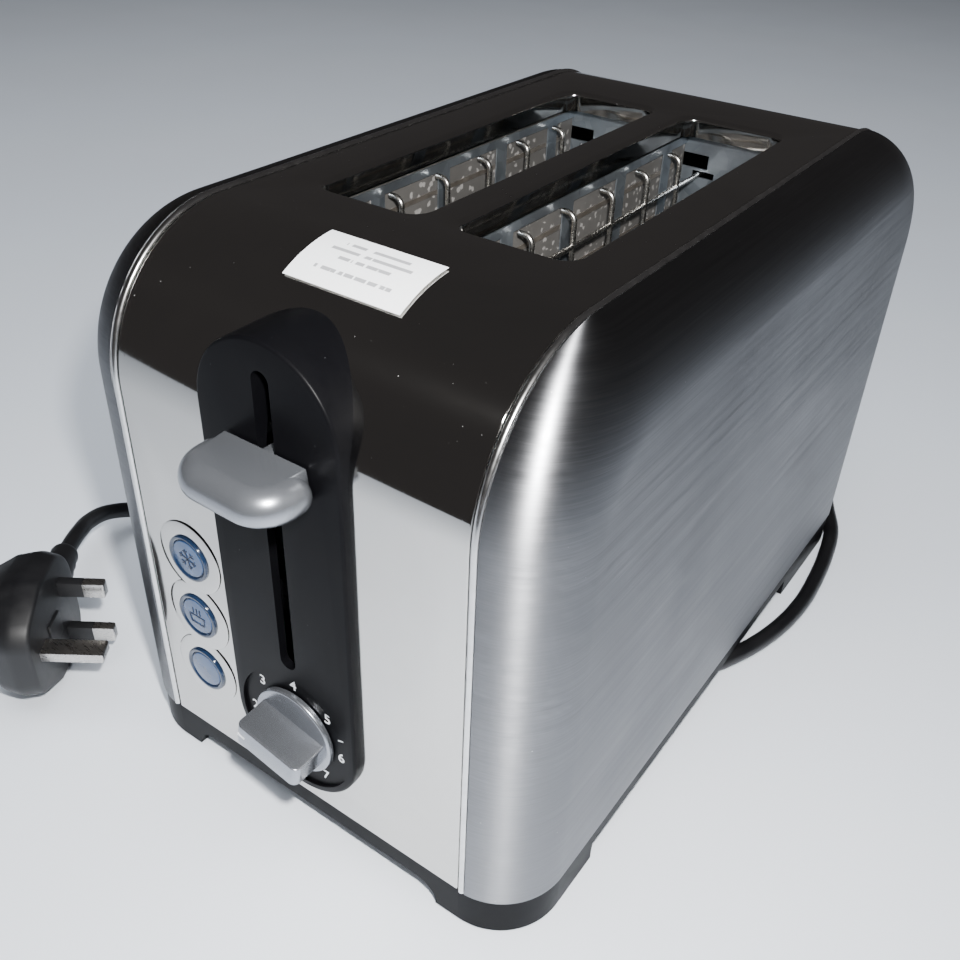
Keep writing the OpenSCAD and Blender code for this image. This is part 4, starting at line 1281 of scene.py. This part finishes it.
class TOASTER_OT_buttons(bpy.types.Operator):
    """Makes the three blue push buttons with their rims and plain marks"""
    bl_idname = "toaster.buttons"
    bl_label = "Push buttons"

    def execute(self, context):
        steel = polished_steel()
        ring = blue_plastic("Blue button ring", tint(colours().button, 0.55))
        blue = blue_plastic("Blue button face", tint(colours().button, 1.7))
        dark = plain_ink("Dark button mark", (0.012, 0.020, 0.045))
        for node in ("defrost_button", "reheat_button", "cancel_button"):
            low, high = node_box(node)
            x, z = (low.x + high.x) / 2, (low.z + high.z) / 2
            radius = (high.x - low.x) / 2
            front = low.y + 0.4 * MM
            cap = self.make_cap(node, x, z, radius, front)
            stem = drum("button_stem", 2.4 * MM, (x, low.y + 5 * MM, z), (x, high.y, z), 24)
            cap = join([cap, stem], f"{node}_cap")
            smooth(cap, 35)
            settle(cap, node, ring, (node,))
            self.pressed_ring(node, x, z, radius, steel)
            face_y = front + 0.25 * MM
            face = drum(f"{node}_face", radius - 1.75 * MM, (x, face_y, z), (x, front + 1.2 * MM, z), 72)
            bevel_edges(face, lambda e: abs(middle(e).y - face_y) < 1e-5, 0.35 * MM, 4)
            smooth(face, 35)
            settle(face, node, blue)
            if node == "defrost_button":
                self.frost_mark(x, z, front + 0.2 * MM, dark, node)
            if node == "reheat_button":
                self.warm_mark(x, z, front + 0.2 * MM, dark, node)
        return {"FINISHED"}

    def make_cap(self, node, x, z, radius, front):
        cap = drum(f"{node}_cap", radius, (x, front, z), (x, front + 5.8 * MM, z), 72)
        select_only(cap)
        bpy.ops.object.mode_set(mode="EDIT")
        pick(cap, "FACE", lambda f: f.normal.y < -0.99)
        bpy.ops.mesh.inset(thickness=1.15 * MM)
        bpy.ops.mesh.inset(thickness=0.5 * MM)
        bpy.ops.transform.translate(value=(0, 0.8 * MM, 0))
        bpy.ops.object.mode_set(mode="OBJECT")
        bevel_edges(cap, lambda e: abs(middle(e).y - front) < 1e-5
                    and e.calc_face_angle(0) > 0.5, 0.45 * MM, 3)
        return cap

    def pressed_ring(self, node, x, z, radius, finish):
        """The low swell that is pressed into the panel round a button."""
        centre = (x, node_box("wrap_band")[0].y + 0.265 * MM, z)
        flatness = 0.11
        bpy.ops.object.select_all(action="DESELECT")
        bpy.ops.mesh.primitive_torus_add(location=centre, rotation=(math.pi / 2, 0, 0),
                                         major_segments=96, minor_segments=40,
                                         major_radius=radius + 1.9 * MM, minor_radius=3.0 * MM)
        ring = bpy.context.active_object
        ring.name = f"{node}_pressed_ring"
        bake_place(ring)
        select_only(ring)
        bpy.ops.object.mode_set(mode="EDIT")
        bpy.ops.mesh.select_all(action="SELECT")
        bpy.ops.transform.resize(value=(1, flatness, 1), center_override=centre)
        bpy.ops.object.mode_set(mode="OBJECT")
        smooth(ring, 60)
        return settle(ring, HOUSING, finish)

    def frost_mark(self, x, z, face, finish, node):
        bars = []
        for index in range(3):
            turn = Matrix.Rotation(math.radians(60 * index + 15), 4, "Y")
            bar = block("bar", (-3.6 * MM, -0.12 * MM, -0.22 * MM), (3.6 * MM, 0.12 * MM, 0.22 * MM))
            bar.data.transform(turn)
            bars.append(bar)
            for end in (-1, 1):
                for lean in (-1, 1):
                    tip = block("tip", (0, -0.12 * MM, -0.16 * MM), (1.3 * MM, 0.12 * MM, 0.16 * MM))
                    place = Matrix.Translation((end * 2.2 * MM, 0, 0))
                    spread = Matrix.Rotation(lean * math.radians(50) + (math.pi if end < 0 else 0), 4, "Y")
                    tip.data.transform(turn @ place @ spread)
                    bars.append(tip)
        mark = join(bars, "defrost_mark")
        mark.data.transform(Matrix.Translation((x, face, z)))
        settle(mark, node, finish)

    def warm_mark(self, x, z, face, finish, node):
        pieces = []
        for index in (-1, 0, 1):
            bar = block("bar", (index * 1.5 * MM - 0.2 * MM, -0.12 * MM, 0.9 * MM),
                        (index * 1.5 * MM + 0.2 * MM, 0.12 * MM, 3.2 * MM))
            pieces.append(bar)
        outline = [(-3.4, 0.2), (3.4, 0.2), (2.8, -2.9), (-2.8, -2.9)]
        for index, (ax, az) in enumerate(outline):
            bx, bz = outline[(index + 1) % 4]
            length = math.hypot(bx - ax, bz - az) * MM
            side = block("side", (0, -0.12 * MM, -0.2 * MM), (length, 0.12 * MM, 0.2 * MM))
            side.data.transform(Matrix.Translation((ax * MM, 0, az * MM))
                                @ Matrix.Rotation(-math.atan2(bz - az, bx - ax), 4, "Y"))
            pieces.append(side)
        mark = join(pieces, "reheat_mark")
        mark.data.transform(Matrix.Translation((x, face, z)))
        settle(mark, node, finish)


# ---------------------------------------------------------------- carried-over parts

class TOASTER_OT_carried(bpy.types.Operator):
    """Gives every carried-over part its finish"""
    bl_idname = "toaster.carried"
    bl_label = "Carried-over parts"

    def execute(self, context):
        galvanised = galvanised_steel()
        plated = plated_steel()
        mica = mica_board()
        wire = bright_wire()
        part = moulded_plastic("Electrical part plastic", (0.03, 0.03, 0.034), 0.4, 900.0, 0.0)
        looks = {
            "base_tray": moulded_plastic("Base plastic", tuple(colours().base), 0.42),
            "rubber_feet": rubber_finish("Foot rubber", (0.012, 0.012, 0.012), 0.7),
            "strip_screws": plated, "base_screws": plated, "guide_rod": wire,
            "return_spring": plated, "latch_keeper": plated, "dial_spindle": plated,
            "front_end_plate": galvanised, "rear_end_plate": galvanised,
            "left_reflector": galvanised, "right_reflector": galvanised,
            "rod_bracket": galvanised, "carriage": galvanised,
            "left_bread_rack": galvanised, "right_bread_rack": galvanised,
            "board_clips": galvanised, "crumb_tray": galvanised,
            "left_outer_heater": mica, "left_inner_heater": mica,
            "right_inner_heater": mica, "right_outer_heater": mica,
            "heating_ribbons": heating_wire(),
            "left_outer_guard": wire, "left_inner_guard": wire,
            "right_inner_guard": wire, "right_outer_guard": wire,
            "magnet_core": rubber_finish("Laminated iron", (0.10, 0.10, 0.105), 0.45),
            "magnet_coil": copper_winding(),
            "control_board": circuit_green(), "board_parts": part,
            "button_switches": part, "dial_control": part, "terminal_block": part,
            "tray_grip": moulded_plastic("Grip plastic", tuple(colours().base), 0.42),
            "top_label": label_paper(),
        }
        for node, finish in looks.items():
            dress(node, finish)
        return {"FINISHED"}


# ---------------------------------------------------------------- panel and main

STEPS = ("stage", "cord", "band", "shells", "strip", "lever", "dial", "buttons", "carried")


class TOASTER_PT_panel(bpy.types.Panel):
    """Lists the toaster's pieces, sizes and colours"""
    bl_idname = "TOASTER_PT_panel"
    bl_label = "Toaster"
    bl_space_type = "VIEW_3D"
    bl_region_type = "UI"
    bl_category = "Toaster"

    def draw(self, context):
        layout = self.layout
        for group in (context.scene.toaster_sizes, context.scene.toaster_colours):
            box = layout.box()
            for key in group.__annotations__:
                box.prop(group, key)
        for step in STEPS:
            layout.operator(f"toaster.{step}")


CLASSES = (
    ToasterSizes, ToasterColours, TOASTER_OT_stage, TOASTER_OT_cord, TOASTER_OT_band,
    TOASTER_OT_shells, TOASTER_OT_strip, TOASTER_OT_lever, TOASTER_OT_dial, TOASTER_OT_buttons,
    TOASTER_OT_carried, TOASTER_PT_panel,
)


def register():
    for cls in CLASSES:
        bpy.utils.register_class(cls)
    bpy.types.Scene.toaster_sizes = PointerProperty(type=ToasterSizes)
    bpy.types.Scene.toaster_colours = PointerProperty(type=ToasterColours)


def unregister():
    del bpy.types.Scene.toaster_colours
    del bpy.types.Scene.toaster_sizes
    for cls in reversed(CLASSES):
        bpy.utils.unregister_class(cls)


def main():
    register()
    for step in STEPS:
        getattr(bpy.ops.toaster, step)()


if __name__ == "__main__":
    main()
